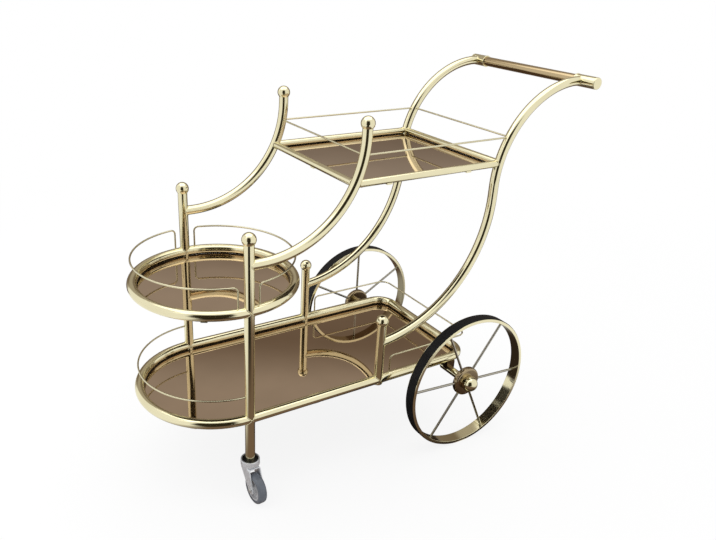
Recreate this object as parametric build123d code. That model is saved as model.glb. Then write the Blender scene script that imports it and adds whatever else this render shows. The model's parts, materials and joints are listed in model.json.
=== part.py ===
from build123d import *
import math
import os

# A bar cart of bent tube: two posts on casters at the front, a round tray between them,
# a long lower tray, a square upper tray, two large spoked wheels and a push handle.
# Lengths are millimetres. X runs from the casters to the handle, Y runs across, Z is up.
# The origin is on the floor in the middle of the cart. Left is the side at negative Y.
# In the side views, distances run backwards from the front posts and heights from the floor.

# Round stock
tube_radius = 11.0
tube_wall = 1.5
rail_radius = 8.0
rail_wall = 1.2
wire_radius = 2.0
wire_bend = 10.0
weld_gap = 0.05
cope_trim = 4.0
fit_gap = 0.05
running_gap = 0.3
flat_cutter = 60.0
pick_reach = 1.0

# Ball finials: a flat on each ball meets the end of its tube, and a spigot goes inside it
ball_radius = 15.0
ball_flat = math.sqrt(ball_radius**2 - tube_radius**2)
spigot_length = 12.0

# Posts and arms
half_width = 178.0
front_ball_height = 623.0
front_arm_height = 568.0
front_arm_straight = 26.0
front_arm_bend = 237.0
front_arm_ball_height = 827.0
rear_post_back = 338.0
rear_ball_height = 363.0
lower_bend = 319.3
lower_bend_back = 312.7
lower_bend_height = 625.3
upper_bend = 228.1
upper_bend_height = 650.5
upper_bend_back = lower_bend_back + lower_bend + upper_bend

# Handle
handle_back = 870.0
handle_height = upper_bend_height + upper_bend
handle_radius = 12.0
handle_wall = 2.0
handle_offset = -15.0
handle_half_length = 211.0
sleeve_radius = 14.0
sleeve_start = {"left": 163.5, "right": 145.0}
collar_radius = 15.0
collar_length = 3.0
end_cap_thickness = 3.0
end_cap_spigot = 14.0

# Trays
lower_height = 206.0
lower_rear = 608.0
lower_corner = 45.0
round_height = 466.0
upper_height = 703.5
upper_front = 240.2
upper_rear = 638.2
glass_thickness = 3.0
glass_drop = 10.0
upper_glass_drop = 7.2
glass_step = 0.2
glass_clearance = 0.4
upper_glass_corner = 6.0

# Gallery wires above the trays
round_wire_height = 524.5
round_wire_gap = 24.0
lower_front_wire_height = 263.5
lower_rear_wire_height = 262.0
lower_rear_wire_start = 370.0
lower_rear_wire_corner = 25.0
upper_wire_height = 762.0
upper_wire_front = 259.1
upper_wire_rear = 661.1

# Angled tabs that carry the glass, each leg coped to the underside of its rim, with a clear pad on the foot
tab_start = 1.0
tab_end = 24.0
tab_width = 14.0
tab_thickness = 1.5
tab_corner = 4.0
pad_radius = 5.0
pad_height = 1.0
pad_centre = 16.0
pad_gap = 0.02
round_tab_angles = (0, 60, 120, 180, 240, 300)
lower_tab_angles = (130, 180, 230)
lower_tab_backs = (170, 460)
lower_tab_sides = (-80, 80)
upper_tab_backs = (330, 550)

# Wheels
axle_back = 558.0
wheel_radius = 175.0
wheel_middle = 247.0
wheel_width = 29.0
rim_inner = 166.0
rim_base = 2.0
flange_top = 173.5
flange_thickness = 2.0
tread_round = 1.2
spoke_count = 6
spoke_radius = 3.0
spoke_depth = 8.0
spoke_phase = {"left": -4.3, "right": 30.0}
hub_radius = 37.0
hub_width = 16.0
hub_round = 5.0
boss_radius = 13.0
boss_length = 1.0
axle_radius = 6.0
axle_sleeve_radius = 10.0
axle_sleeve_start = 160.0
nut_radius = 19.5
nut_centre = 15.5
nut_grip = 4.0

# Saddles that hang the axle sleeves under the lower tray
saddle_length = 24.0
saddle_width = 15.0
saddle_offset = 3.5
saddle_top = 199.0
saddle_bottom = 179.0

# Casters
cup_radius = 21.5
cup_top = 100.0
cup_bottom = 84.4
cup_wall = 3.0
cup_recess = 5.5
cup_round = 1.5
bush_drop = 1.0
stem_length = 25.0
pin_radius = 5.0
pin_top = 94.0
pin_head_radius = 8.0
pin_head_thickness = 1.5
fork_top = 84.0
fork_half_width = 14.5
fork_sheet = 2.5
fork_bend = 5.0
fork_front = -17.0
fork_rear = 20.0
fork_crown_depth = 10.0
fork_eye_radius = 10.0
caster_trail = 27.0
caster_turn = 3.0
caster_radius = 35.0
caster_width = 20.0
caster_round = 5.0
caster_core_radius = 27.0
caster_rim_wall = 4.0
caster_rim_inset = 1.0
caster_web = 7.0
caster_hub_radius = 10.0
caster_hub_width = 22.6
bolt_radius = 3.0
bolt_head_radius = 5.5
bolt_head_height = 4.0
bolt_head_round = 2.0

SIDES = (("left", -1), ("right", 1))

# The cart is longest from the front of the trays to the back of the handle collars
cart_front = -half_width - tube_radius
cart_rear = handle_back + collar_radius
front_post_x = -(cart_front + cart_rear) / 2
post_foot = cup_top - cup_recess + weld_gap
cope_radius = tube_radius + weld_gap

parts = {}


def side_view(side, distance=half_width):
    """Upright plane at one side of the cart: first axis backwards, second axis up."""
    return Plane(origin=(front_post_x, side * distance, 0), x_dir=(1, 0, 0), z_dir=(0, -1, 0))


def plan_view(height):
    """Level plane at a height: first axis backwards from the front posts, second across."""
    return Plane(origin=(front_post_x, 0, height))


def swept(path, radius, wall=None):
    """Sweep a disc, or a ring when there is a wall, along a path."""
    outline = Circle(radius)
    if wall is not None:
        outline -= Circle(radius - wall)
    start = Plane(origin=path @ 0, z_dir=path % 0)
    return sweep(start * outline, path=path)


def cut_away(piece, cutters):
    """Cope a piece against its neighbours and keep the largest solid left."""
    for cutter in cutters:
        piece = piece - cutter
    return max(piece.solids(), key=lambda solid: solid.volume)


def upright(side, back, low, high):
    """Straight path of a post."""
    x = front_post_x + back
    y = side * half_width
    return Line((x, y, low), (x, y, high))


def post_core(side, back, height):
    """The room a post takes where tubes meet it, with flats that blunt the thin tips of the copes."""
    core = swept(upright(side, back, 0, height), cope_radius)
    middle = Pos(front_post_x + back, side * half_width, height / 2)
    return core + middle * Box(2 * cope_trim, 3 * cope_radius, height)


def front_arm_path(side):
    """Out from the post, then bending up to the ball beside the upper tray."""
    start = (0, front_arm_height)
    bend_start = (front_arm_straight, front_arm_height)
    centre = (front_arm_straight, front_arm_height + front_arm_bend)
    bend_end = (front_arm_straight + front_arm_bend, front_arm_height + front_arm_bend)
    tip = (bend_end[0], front_arm_ball_height - ball_flat - weld_gap)
    lines = [
        Line(start, bend_start),
        CenterArc(centre, front_arm_bend, -90, 90),
        Line(bend_end, tip),
    ]
    return side_view(side) * Wire(lines)


def rear_arm_path(side):
    """An S from the short rear post, up past the upper tray and back to the handle."""
    lower_centre = (lower_bend_back, lower_bend_height)
    first_angle = -math.degrees(math.acos((rear_post_back - lower_bend_back) / lower_bend))
    straight_back = lower_bend_back + lower_bend
    upper_centre = (upper_bend_back, upper_bend_height)
    lines = [
        CenterArc(lower_centre, lower_bend, first_angle, -first_angle),
        Line((straight_back, lower_bend_height), (straight_back, upper_bend_height)),
        CenterArc(upper_centre, upper_bend, 180, -90),
        Line((upper_bend_back, handle_height), (handle_back, handle_height)),
    ]
    return side_view(side) * Wire(lines)


def front_half_circle(height, post_gap=0.0):
    """Half circle round the front of the cart, stopping short of each post's axis by a gap."""
    gap_angle = math.degrees(math.asin(post_gap / half_width))
    return plan_view(height) * CenterArc((0, 0), half_width, 90 + gap_angle, 180 - 2 * gap_angle)


def lower_rear_path():
    """The rim from the left rear post round the back to the right one."""
    corners = [
        (rear_post_back, -half_width),
        (lower_rear, -half_width),
        (lower_rear, half_width),
        (rear_post_back, half_width),
    ]
    return plan_view(lower_height) * FilletPolyline(*corners, radius=lower_corner)


def round_wire_path():
    """The front half of the round tray's wire, with a leg bent down at each end."""
    half_gap_angle = math.asin(round_wire_gap / half_width)
    turn_angle = math.pi / 2 + half_gap_angle + wire_bend / half_width
    foot = round_height + tube_radius + weld_gap
    first = Vector(math.cos(turn_angle), math.sin(turn_angle)) * half_width
    along = Vector(-math.sin(turn_angle), math.cos(turn_angle)) * wire_bend
    leg = first - along
    drop = round_wire_height - wire_bend
    last = Vector(first.X, -first.Y)
    last_leg = Vector(leg.X, -leg.Y)
    last_along = Vector(-along.X, along.Y)
    lines = [
        Line((leg.X, leg.Y, foot), (leg.X, leg.Y, drop)),
        TangentArc((leg.X, leg.Y, drop), (first.X, first.Y, round_wire_height), tangent=(0, 0, 1)),
        ThreePointArc(
            (first.X, first.Y, round_wire_height),
            (-half_width, 0, round_wire_height),
            (last.X, last.Y, round_wire_height),
        ),
        TangentArc(
            (last.X, last.Y, round_wire_height),
            (last_leg.X, last_leg.Y, drop),
            tangent=(last_along.X, last_along.Y, 0),
        ),
        Line((last_leg.X, last_leg.Y, drop), (last_leg.X, last_leg.Y, foot)),
    ]
    return plan_view(0) * Wire(lines)


def lower_rear_wire_path():
    """The wire round the back of the lower tray, with its two ends bent down to the rim."""
    foot = lower_height + tube_radius + weld_gap
    top = lower_rear_wire_height
    corners = [
        (lower_rear_wire_start, -half_width, foot),
        (lower_rear_wire_start, -half_width, top),
        (lower_rear, -half_width, top),
        (lower_rear, half_width, top),
        (lower_rear_wire_start, half_width, top),
        (lower_rear_wire_start, half_width, foot),
    ]
    radii = [wire_bend, lower_rear_wire_corner, lower_rear_wire_corner, wire_bend]
    return plan_view(0) * FilletPolyline(*corners, radius=radii)


def across(back, height, half_length=half_width, offset=0.0):
    """Level path from the left side to the right one, its middle at an offset from the cart's."""
    x = front_post_x + back
    return Line((x, offset - half_length, height), (x, offset + half_length, height))


def along_side(side, front, rear, height):
    """Level path along one side, from front to rear."""
    y = side * half_width
    return Line((front_post_x + front, y, height), (front_post_x + rear, y, height))


def flat_ball(radius, flat):
    """A ball cut flat at a distance below its centre."""
    below = (Align.CENTER, Align.CENTER, Align.MAX)
    return Sphere(radius) - Pos(0, 0, -flat) * Box(flat_cutter, flat_cutter, flat_cutter, align=below)


def ball_finial(side, back, height):
    """A ball with a flat underneath and a spigot that goes inside its tube."""
    ball = flat_ball(ball_radius, ball_flat)
    spigot_radius = tube_radius - tube_wall - fit_gap
    spigot = Pos(0, 0, -ball_flat - spigot_length) * Cylinder(
        spigot_radius, spigot_length, align=(Align.CENTER, Align.CENTER, Align.MIN)
    )
    return Pos(front_post_x + back, side * half_width, height) * (ball + spigot)


def round_outline(inset):
    """Outline of the round glass, an inset inside the axis of its rim."""
    return Circle(half_width - inset)


def lower_outline(inset):
    """Outline of the lower glass: a half circle in front and two rounded corners behind."""
    length = lower_rear - inset
    panel = Pos(length / 2, 0) * Rectangle(length, 2 * (half_width - inset))
    return fillet(corners_at(panel, length), lower_corner - inset) + Circle(half_width - inset)


def upper_outline(inset):
    """Outline of the upper glass: a rectangle with small rounded corners."""
    length = upper_rear - upper_front - 2 * inset
    panel = RectangleRounded(length, 2 * (half_width - inset), upper_glass_corner)
    return Pos((upper_front + upper_rear) / 2, 0) * panel


def glass_sheet(outline, rim_radius, rim_height, drop, neighbours):
    """A sheet with its top a drop below the axis of its rim, notched round the tubes that pass it.

    Its border goes under the rim and is ground a step lower than the top.
    """
    under_rim = math.sqrt(rim_radius**2 - drop**2) + glass_clearance
    inside_rim = rim_radius + 2 * glass_clearance
    base = plan_view(rim_height - drop - glass_thickness)
    sheet = extrude(base * outline(under_rim), glass_thickness - glass_step)
    sheet += extrude(base * outline(inside_rim), glass_thickness)
    return cut_away(sheet, [swept(path, tube_radius + glass_clearance) for path in neighbours])


def support_tab(back, y, inward_angle, drop, rim_height, rim_core):
    """A tab with a leg under a rim and a foot pointing inwards, and the pad on that foot."""
    place = Pos(front_post_x + back, y, rim_height) * Rot(0, 0, inward_angle)
    foot_top = -drop - glass_thickness - pad_height
    outline = Pos((tab_start + tab_end) / 2, 0) * Rectangle(tab_end - tab_start, tab_width)
    outline = fillet(corners_at(outline, tab_end), tab_corner)
    tab = extrude(Pos(0, 0, foot_top) * outline, tab_thickness, dir=(0, 0, -1))
    leg_outline = Pos(tab_start + tab_thickness / 2, 0) * Rectangle(tab_thickness, tab_width)
    tab += extrude(leg_outline, foot_top - tab_thickness)
    pad_place = Pos(pad_centre, 0, foot_top + pad_height / 2)
    pad = place * pad_place * Cylinder(pad_radius, pad_height - 2 * pad_gap)
    return cut_away(place * tab, [rim_core]), pad


def revolved(outline):
    """Turn a flat outline, drawn as radius against width, round the wheel axis."""
    return revolve(Plane.XZ * outline, axis=Axis.Z)


def corners_at(outline, reach):
    """Corners of an outline at a distance along its first axis."""
    return outline.vertices().filter_by_position(Axis.X, reach - pick_reach, reach + pick_reach)


def block(radius_low, radius_high, low, high):
    """Rectangle of an outline that is to be turned round the wheel axis."""
    middle = Pos((radius_low + radius_high) / 2, (low + high) / 2)
    return middle * Rectangle(radius_high - radius_low, high - low)


# Solid cores, a weld gap larger than the tubes, that the joining pieces are coped against
front_cores = [post_core(side, 0, front_ball_height) for name, side in SIDES]
rear_cores = [post_core(side, rear_post_back, rear_ball_height) for name, side in SIDES]
front_arm_cores = [swept(front_arm_path(side), cope_radius) for name, side in SIDES]
rear_arm_cores = [swept(rear_arm_path(side), cope_radius) for name, side in SIDES]
upper_cores = front_arm_cores + rear_arm_cores
handle_line = across(handle_back, handle_height, handle_half_length, handle_offset)
sleeve_core = swept(handle_line, sleeve_radius + weld_gap)
cross_rail_cores = [
    swept(across(back, upper_height), rail_radius + weld_gap) for back in (upper_front, upper_rear)
]
lower_rear_core = swept(lower_rear_path(), cope_radius)
lower_front_core = swept(front_half_circle(lower_height), cope_radius)
lower_side_cores = [
    swept(along_side(side, 0, rear_post_back, lower_height), cope_radius) for name, side in SIDES
]
upper_side_cores = [
    swept(along_side(side, upper_front, upper_rear, upper_height), rail_radius + weld_gap)
    for name, side in SIDES
]
turn_round = Pos(front_post_x, 0, 0) * Rot(0, 0, 180) * Pos(-front_post_x, 0, 0)
round_front_core = swept(front_half_circle(round_height), cope_radius)
round_rear_core = turn_round * round_front_core

# Posts, arms and ball finials
finials = []
for index, (name, side) in enumerate(SIDES):
    front_top = front_ball_height - ball_flat - weld_gap
    rear_top = rear_ball_height - ball_flat - weld_gap
    rear_foot = lower_height - tube_radius
    parts[f"{name}_front_post"] = swept(upright(side, 0, post_foot, front_top), tube_radius, tube_wall)
    parts[f"{name}_rear_post"] = swept(
        upright(side, rear_post_back, rear_foot, rear_top), tube_radius, tube_wall
    )
    front_arm = swept(front_arm_path(side), tube_radius, tube_wall)
    parts[f"{name}_front_arm"] = cut_away(front_arm, [front_cores[index]])
    rear_arm = swept(rear_arm_path(side), tube_radius, tube_wall)
    parts[f"{name}_rear_arm"] = cut_away(rear_arm, [rear_cores[index], sleeve_core])
    finials.append(ball_finial(side, 0, front_ball_height))
    finials.append(ball_finial(side, front_arm_straight + front_arm_bend, front_arm_ball_height))
    finials.append(ball_finial(side, rear_post_back, rear_ball_height))
parts["ball_finials"] = Compound(finials)

# Handle: one tube across, a collared sleeve over each end and a flat cap.
# It sits off the middle, so the sleeves reach differently far to either side.
cap_room = end_cap_thickness + weld_gap
handle_tube = across(handle_back, handle_height, handle_half_length - cap_room, handle_offset)
parts["handle_grip"] = swept(handle_tube, handle_radius, handle_wall)
end_caps = []
for name, side in SIDES:
    place = Plane(
        origin=(front_post_x + handle_back, 0, handle_height), x_dir=(1, 0, 0), z_dir=(0, side, 0)
    )
    start = sleeve_start[name]
    handle_end = handle_half_length + side * handle_offset
    profile = block(handle_radius + fit_gap, sleeve_radius, start, handle_end - cap_room)
    profile += block(handle_radius + fit_gap, collar_radius, start, start + collar_length)
    parts[f"{name}_handle_sleeve"] = place * revolved(profile)
    cap_start = handle_end - end_cap_thickness
    cap = block(0, sleeve_radius, cap_start, handle_end)
    cap += block(0, handle_radius - handle_wall - fit_gap, cap_start - end_cap_spigot, cap_start)
    end_caps.append(place * revolved(cap))
parts["handle_end_caps"] = Compound(end_caps)

# Rims: each length of tube stops at the posts or arms it meets
lower_front = swept(front_half_circle(lower_height), tube_radius, tube_wall)
parts["lower_front_rim"] = cut_away(lower_front, front_cores)
round_front = swept(front_half_circle(round_height), tube_radius, tube_wall)
parts["round_front_rim"] = cut_away(round_front, front_cores)
parts["round_rear_rim"] = turn_round * parts["round_front_rim"]
lower_back = swept(lower_rear_path(), tube_radius, tube_wall)
parts["lower_rear_rim"] = cut_away(lower_back, rear_cores)
for index, (name, side) in enumerate(SIDES):
    lower_side = swept(along_side(side, 0, rear_post_back, lower_height), tube_radius, tube_wall)
    parts[f"lower_{name}_rail"] = cut_away(lower_side, [front_cores[index], rear_cores[index]])
    upper_side = swept(along_side(side, upper_front, upper_rear, upper_height), rail_radius, rail_wall)
    side_cores = [front_arm_cores[index], rear_arm_cores[index]]
    parts[f"upper_{name}_rail"] = cut_away(upper_side, side_cores + cross_rail_cores)
    side_wire = swept(
        along_side(side, upper_wire_front, upper_wire_rear, upper_wire_height), wire_radius
    )
    parts[f"upper_{name}_wire"] = cut_away(side_wire, side_cores)
for name, back in (("front", upper_front), ("rear", upper_rear)):
    cross_rail = swept(across(back, upper_height), rail_radius, rail_wall)
    parts[f"upper_{name}_rail"] = cut_away(cross_rail, upper_cores)
for name, back in (("front", upper_wire_front), ("rear", upper_wire_rear)):
    cross_wire = swept(across(back, upper_wire_height), wire_radius)
    parts[f"upper_{name}_wire"] = cut_away(cross_wire, upper_cores)

# Gallery wires of the two lower trays
parts["lower_front_wire"] = swept(front_half_circle(lower_front_wire_height, cope_radius), wire_radius)
parts["lower_rear_wire"] = swept(lower_rear_wire_path(), wire_radius)
parts["round_front_wire"] = swept(round_wire_path(), wire_radius)
parts["round_rear_wire"] = turn_round * parts["round_front_wire"]

# Glass shelves held up against the undersides of the rims, so that each is wider than its opening
front_posts = [upright(side, 0, 0, front_ball_height) for name, side in SIDES]
rear_posts = [upright(side, rear_post_back, 0, rear_ball_height) for name, side in SIDES]
arms = [front_arm_path(side) for name, side in SIDES] + [rear_arm_path(side) for name, side in SIDES]
parts["round_glass"] = glass_sheet(round_outline, tube_radius, round_height, glass_drop, front_posts)
parts["lower_glass"] = glass_sheet(
    lower_outline, tube_radius, lower_height, glass_drop, front_posts + rear_posts
)
parts["upper_glass"] = glass_sheet(upper_outline, rail_radius, upper_height, upper_glass_drop, arms)

# Tabs and pads under each sheet of glass
round_supports = []
for angle in round_tab_angles:
    back = half_width * math.cos(math.radians(angle))
    y = half_width * math.sin(math.radians(angle))
    core = round_front_core if back < 0 else round_rear_core
    round_supports.append(support_tab(back, y, angle + 180, glass_drop, round_height, core))
lower_supports = []
for angle in lower_tab_angles:
    back = half_width * math.cos(math.radians(angle))
    y = half_width * math.sin(math.radians(angle))
    lower_supports.append(support_tab(back, y, angle + 180, glass_drop, lower_height, lower_front_core))
for index, (name, side) in enumerate(SIDES):
    y = side * half_width
    for back, core in zip(lower_tab_backs, (lower_side_cores[index], lower_rear_core)):
        lower_supports.append(support_tab(back, y, -90 * side, glass_drop, lower_height, core))
for y in lower_tab_sides:
    lower_supports.append(support_tab(lower_rear, y, 180, glass_drop, lower_height, lower_rear_core))
upper_supports = []
for index, (name, side) in enumerate(SIDES):
    y = side * half_width
    for back in upper_tab_backs:
        tab_core = upper_side_cores[index]
        upper_supports.append(support_tab(back, y, -90 * side, upper_glass_drop, upper_height, tab_core))
for back, angle, core in zip((upper_front, upper_rear), (0, 180), cross_rail_cores):
    upper_supports.append(support_tab(back, 0, angle, upper_glass_drop, upper_height, core))
parts["round_glass_tabs"] = Compound([tab for tab, pad in round_supports])
parts["lower_glass_tabs"] = Compound([tab for tab, pad in lower_supports])
parts["upper_glass_tabs"] = Compound([tab for tab, pad in upper_supports])
parts["glass_pads"] = Compound([pad for tab, pad in round_supports + lower_supports + upper_supports])

# Axle, its two sleeves in their saddles, and the ball nuts that keep the wheels on
hub_face = hub_width / 2 + boss_length
nut_flat = nut_centre - hub_face - running_gap
axle_end = wheel_middle + nut_centre + nut_grip
axle_bore = axle_radius + fit_gap
axle_sleeve_end = wheel_middle - hub_face - running_gap
parts["axle"] = swept(
    Line(
        (front_post_x + axle_back, -axle_end, wheel_radius),
        (front_post_x + axle_back, axle_end, wheel_radius),
    ),
    axle_radius,
)
saddles = []
axle_sleeves = []
ball_nuts = []
for name, side in SIDES:
    axle_line = Plane(
        origin=(front_post_x + axle_back, 0, wheel_radius), x_dir=(1, 0, 0), z_dir=(0, side, 0)
    )
    sleeve = block(axle_bore, axle_sleeve_radius, axle_sleeve_start, axle_sleeve_end)
    axle_sleeves.append(axle_line * revolved(sleeve))
    sleeve_room = block(0, axle_sleeve_radius + weld_gap, axle_sleeve_start, axle_sleeve_end)
    saddle_middle = Pos(
        front_post_x + axle_back,
        side * (half_width + saddle_offset),
        (saddle_bottom + saddle_top) / 2,
    )
    saddle = saddle_middle * Box(saddle_length, saddle_width, saddle_top - saddle_bottom)
    saddles.append(cut_away(saddle, [lower_rear_core, axle_line * revolved(sleeve_room)]))
    nut_hole = Pos(0, 0, -nut_centre) * Cylinder(
        axle_bore, nut_centre + nut_grip + fit_gap, align=(Align.CENTER, Align.CENTER, Align.MIN)
    )
    nut = flat_ball(nut_radius, nut_flat) - nut_hole
    ball_nuts.append(axle_line * (Pos(0, 0, wheel_middle + nut_centre) * nut))
parts["axle_brackets"] = Compound(saddles)
parts["axle_sleeves"] = Compound(axle_sleeves)
parts["axle_ball_nuts"] = Compound(ball_nuts)

# Wheels: a solid tyre standing a little proud of a channel rim, straight spokes and a turned hub
half_wheel = wheel_width / 2
groove_half = half_wheel - flange_thickness
for name, side in SIDES:
    place = Plane(
        origin=(front_post_x + axle_back, side * wheel_middle, wheel_radius),
        x_dir=(1, 0, 0),
        z_dir=(0, side, 0),
    )
    channel = block(rim_inner, flange_top, -half_wheel, half_wheel)
    channel -= block(rim_inner + rim_base, wheel_radius, -groove_half, groove_half)
    parts[f"{name}_wheel_rim"] = place * revolved(channel)
    tyre_half = groove_half - fit_gap
    tyre = block(rim_inner + rim_base + fit_gap, wheel_radius, -tyre_half, tyre_half)
    tyre = fillet(corners_at(tyre, wheel_radius), tread_round)
    parts[f"{name}_tyre"] = place * revolved(tyre)
    hub = Cylinder(hub_radius, hub_width)
    hub = fillet(hub.edges().filter_by(GeomType.CIRCLE), hub_round)
    hub += Cylinder(boss_radius, 2 * hub_face)
    hub -= Cylinder(axle_bore, 4 * hub_face)
    spokes = []
    spoke_low = hub_radius - spoke_depth
    spoke_high = rim_inner - 2 * weld_gap
    for number in range(spoke_count):
        turn = Rot(0, 0, -side * spoke_phase[name] + number * 360 / spoke_count)
        outward = turn * Pos(spoke_low, 0, 0) * Rot(0, 90, 0)
        base = (Align.CENTER, Align.CENTER, Align.MIN)
        spokes.append(outward * Cylinder(spoke_radius, spoke_high - spoke_low, align=base))
        socket = Pos(0, 0, -fit_gap) * Cylinder(spoke_radius + fit_gap, hub_radius, align=base)
        hub -= outward * socket
    parts[f"{name}_hub"] = place * hub
    parts[f"{name}_spokes"] = Compound([place * spoke for spoke in spokes])

# Casters: a cup and a bush on each post, a swivelling fork of bent sheet, a bolt and a wheel
cups = []
bushes = []
for name, side in SIDES:
    place = Pos(front_post_x, side * half_width, 0)
    cup_outline = block(0, cup_radius, cup_bottom, cup_top)
    cup_outline = fillet(corners_at(cup_outline, cup_radius), cup_round)
    cup_floor = cup_top - cup_recess
    cup_outline -= block(0, cup_radius - cup_wall, cup_floor, cup_top + cup_recess)
    stem_radius = tube_radius - tube_wall - fit_gap
    cup_outline += block(0, stem_radius, cup_floor, cup_floor + stem_length)
    cup_outline -= block(0, pin_radius + fit_gap, cup_bottom, pin_top + running_gap)
    cups.append(place * revolved(cup_outline))
    bush = block(
        tube_radius + fit_gap,
        cup_radius - cup_wall - fit_gap,
        cup_floor + weld_gap,
        cup_top - bush_drop,
    )
    bushes.append(place * revolved(bush))

    # The fork and its wheel are drawn trailing along X, then turned to trail outwards and a little back
    swing = place * Rot(0, 0, side * (90 - caster_turn))
    crown_low = fork_top - fork_crown_depth
    crown = Pos((fork_front + fork_rear) / 2, (crown_low + fork_top) / 2) * Rectangle(
        fork_rear - fork_front, fork_crown_depth
    )
    eye = Pos(caster_trail, caster_radius) * Circle(fork_eye_radius)
    fork_side = make_hull((crown + eye).edges())
    fork_side -= Pos(caster_trail, caster_radius) * Circle(bolt_radius + fit_gap)
    fork_block = extrude(Plane.XZ * fork_side, 2 * fork_half_width, both=True)
    outer = Pos(0, fork_top / 2) * Rectangle(2 * fork_half_width, fork_top)
    outer = fillet(outer.vertices().group_by(Axis.Y)[-1], fork_bend)
    inner_half = fork_half_width - fork_sheet
    inner_top = fork_top - fork_sheet
    inner = Pos(0, inner_top / 2) * Rectangle(2 * inner_half, inner_top)
    inner = fillet(inner.vertices().group_by(Axis.Y)[-1], fork_bend - fork_sheet)
    channel = extrude(Plane.YZ * (outer - inner), 4 * fork_rear, both=True)
    base = (Align.CENTER, Align.CENTER, Align.MIN)
    pin_low = inner_top - pin_head_thickness
    pin = Pos(0, 0, pin_low) * Cylinder(pin_radius, pin_top - pin_low, align=base)
    pin += Pos(0, 0, pin_low) * Cylinder(pin_head_radius, pin_head_thickness, align=base)
    parts[f"{name}_caster_fork"] = swing * ((fork_block & channel) + pin)

    wheel_place = swing * Pos(caster_trail, 0, caster_radius) * Rot(90, 0, 0)
    bolt = Cylinder(bolt_radius, 2 * fork_half_width + bolt_head_height)
    head_low = fork_half_width + weld_gap
    head = Pos(0, 0, head_low) * Cylinder(bolt_head_radius, bolt_head_height, align=base)
    head = fillet(head.edges().group_by(Axis.Z)[-1], bolt_head_round)
    nut_outline = RegularPolygon(bolt_head_radius, 6)
    nut = extrude(Pos(0, 0, -head_low - bolt_head_height) * nut_outline, bolt_head_height)
    parts[f"{name}_caster_bolt"] = wheel_place * (bolt + head + nut)
    half_caster = caster_width / 2
    core = block(bolt_radius + fit_gap, caster_hub_radius, -caster_hub_width / 2, caster_hub_width / 2)
    core += block(bolt_radius + fit_gap, caster_core_radius, -caster_web / 2, caster_web / 2)
    half_rim = half_caster - caster_rim_inset
    core += block(caster_core_radius - caster_rim_wall, caster_core_radius, -half_rim, half_rim)
    parts[f"{name}_caster_wheel"] = wheel_place * revolved(core)
    tread = block(caster_core_radius + fit_gap, caster_radius, -half_caster, half_caster)
    tread = fillet(corners_at(tread, caster_radius), caster_round)
    parts[f"{name}_caster_tread"] = wheel_place * revolved(tread)
parts["caster_cups"] = Compound(cups)
parts["stem_bushes"] = Compound(bushes)

os.makedirs("parts", exist_ok=True)
for name, piece in parts.items():
    export_step(piece, f"parts/{name}.step")
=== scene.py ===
import json
import math

import bmesh
import bpy
from bpy.props import FloatProperty, FloatVectorProperty, IntProperty, PointerProperty
from mathutils import Matrix, Quaternion, Vector


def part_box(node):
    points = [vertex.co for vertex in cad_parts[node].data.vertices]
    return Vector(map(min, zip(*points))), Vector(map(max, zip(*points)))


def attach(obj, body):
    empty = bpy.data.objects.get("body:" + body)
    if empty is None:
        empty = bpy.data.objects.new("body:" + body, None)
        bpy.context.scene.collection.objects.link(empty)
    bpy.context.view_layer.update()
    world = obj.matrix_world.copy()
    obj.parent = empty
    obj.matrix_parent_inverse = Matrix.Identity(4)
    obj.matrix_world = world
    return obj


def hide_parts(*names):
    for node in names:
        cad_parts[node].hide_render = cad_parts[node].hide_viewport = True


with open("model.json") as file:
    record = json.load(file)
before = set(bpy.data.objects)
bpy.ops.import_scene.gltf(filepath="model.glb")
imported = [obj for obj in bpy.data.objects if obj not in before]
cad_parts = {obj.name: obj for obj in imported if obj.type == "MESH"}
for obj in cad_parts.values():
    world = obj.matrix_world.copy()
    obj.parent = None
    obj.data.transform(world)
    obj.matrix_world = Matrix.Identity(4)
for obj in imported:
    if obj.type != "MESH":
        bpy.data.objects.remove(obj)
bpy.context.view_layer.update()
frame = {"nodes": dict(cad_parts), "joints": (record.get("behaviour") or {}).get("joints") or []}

bl_info = {
    "name": "Bar cart",
    "version": (1, 0, 0),
    "blender": (4, 5, 0),
    "location": "View3D > Sidebar > Bar cart",
    "description": "Makes the finished pieces of a bent-tube bar cart on its packed frame",
    "category": "Object",
}

FRAME_BODY = "cart_frame"
SIDES = {"left": -1, "right": 1}
BACKWARDS = Vector((1, 0, 0))
ACROSS = Vector((0, 1, 0))
UP = Vector((0, 0, 1))

# Width of the camera's sensor in millimetres
SENSOR_WIDTH = 36.0

# Steps, in metres, that places and the radii of round stock are rounded to
PLACE_STEP = 0.0001
STOCK_STEP = 0.0005

# Smoothness of what is turned, bent, swept or softened
ARC_STEP = math.radians(2.5)
FEWEST_ARC_STEPS = 3
SMALL_TURN_SIDES = 64
LARGE_TURN_SIDES = 144
SPOKE_SIDES = 20
BALL_STEPS = 40
BEAD_STEPS = 72
BEAD_SIDES = 10
EDGE_SEGMENTS = 2
LARGE_FACE_WEIGHT = 100
CREASE = math.radians(32)
FLATNESS = math.radians(1)
SHARP_EDGE = math.radians(40)
LEVEL = math.cos(math.radians(5))
SAME_PLACE = 1e-6

# Length that a wire keeps for the bend into its leg, in bend radii
LEG_BEND_ROOM = 1.5

# Range in which most values of a noise lie
NOISE_RANGE = (0.3, 0.7)


def middle(node):
    """Centre of a node's box."""
    low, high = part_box(node)
    return (low + high) / 2


def extent(node):
    """Size of a node's box."""
    low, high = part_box(node)
    return high - low


def measured(size, step=PLACE_STEP):
    """A size from the frame, rounded to a step that the maker would use."""
    return round(size / step) * step


def stock_radius(node, axis):
    """Radius of a node's round stock, from the width of its box along an axis."""
    return measured(getattr(extent(node), axis) / 2, STOCK_STEP)


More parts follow.
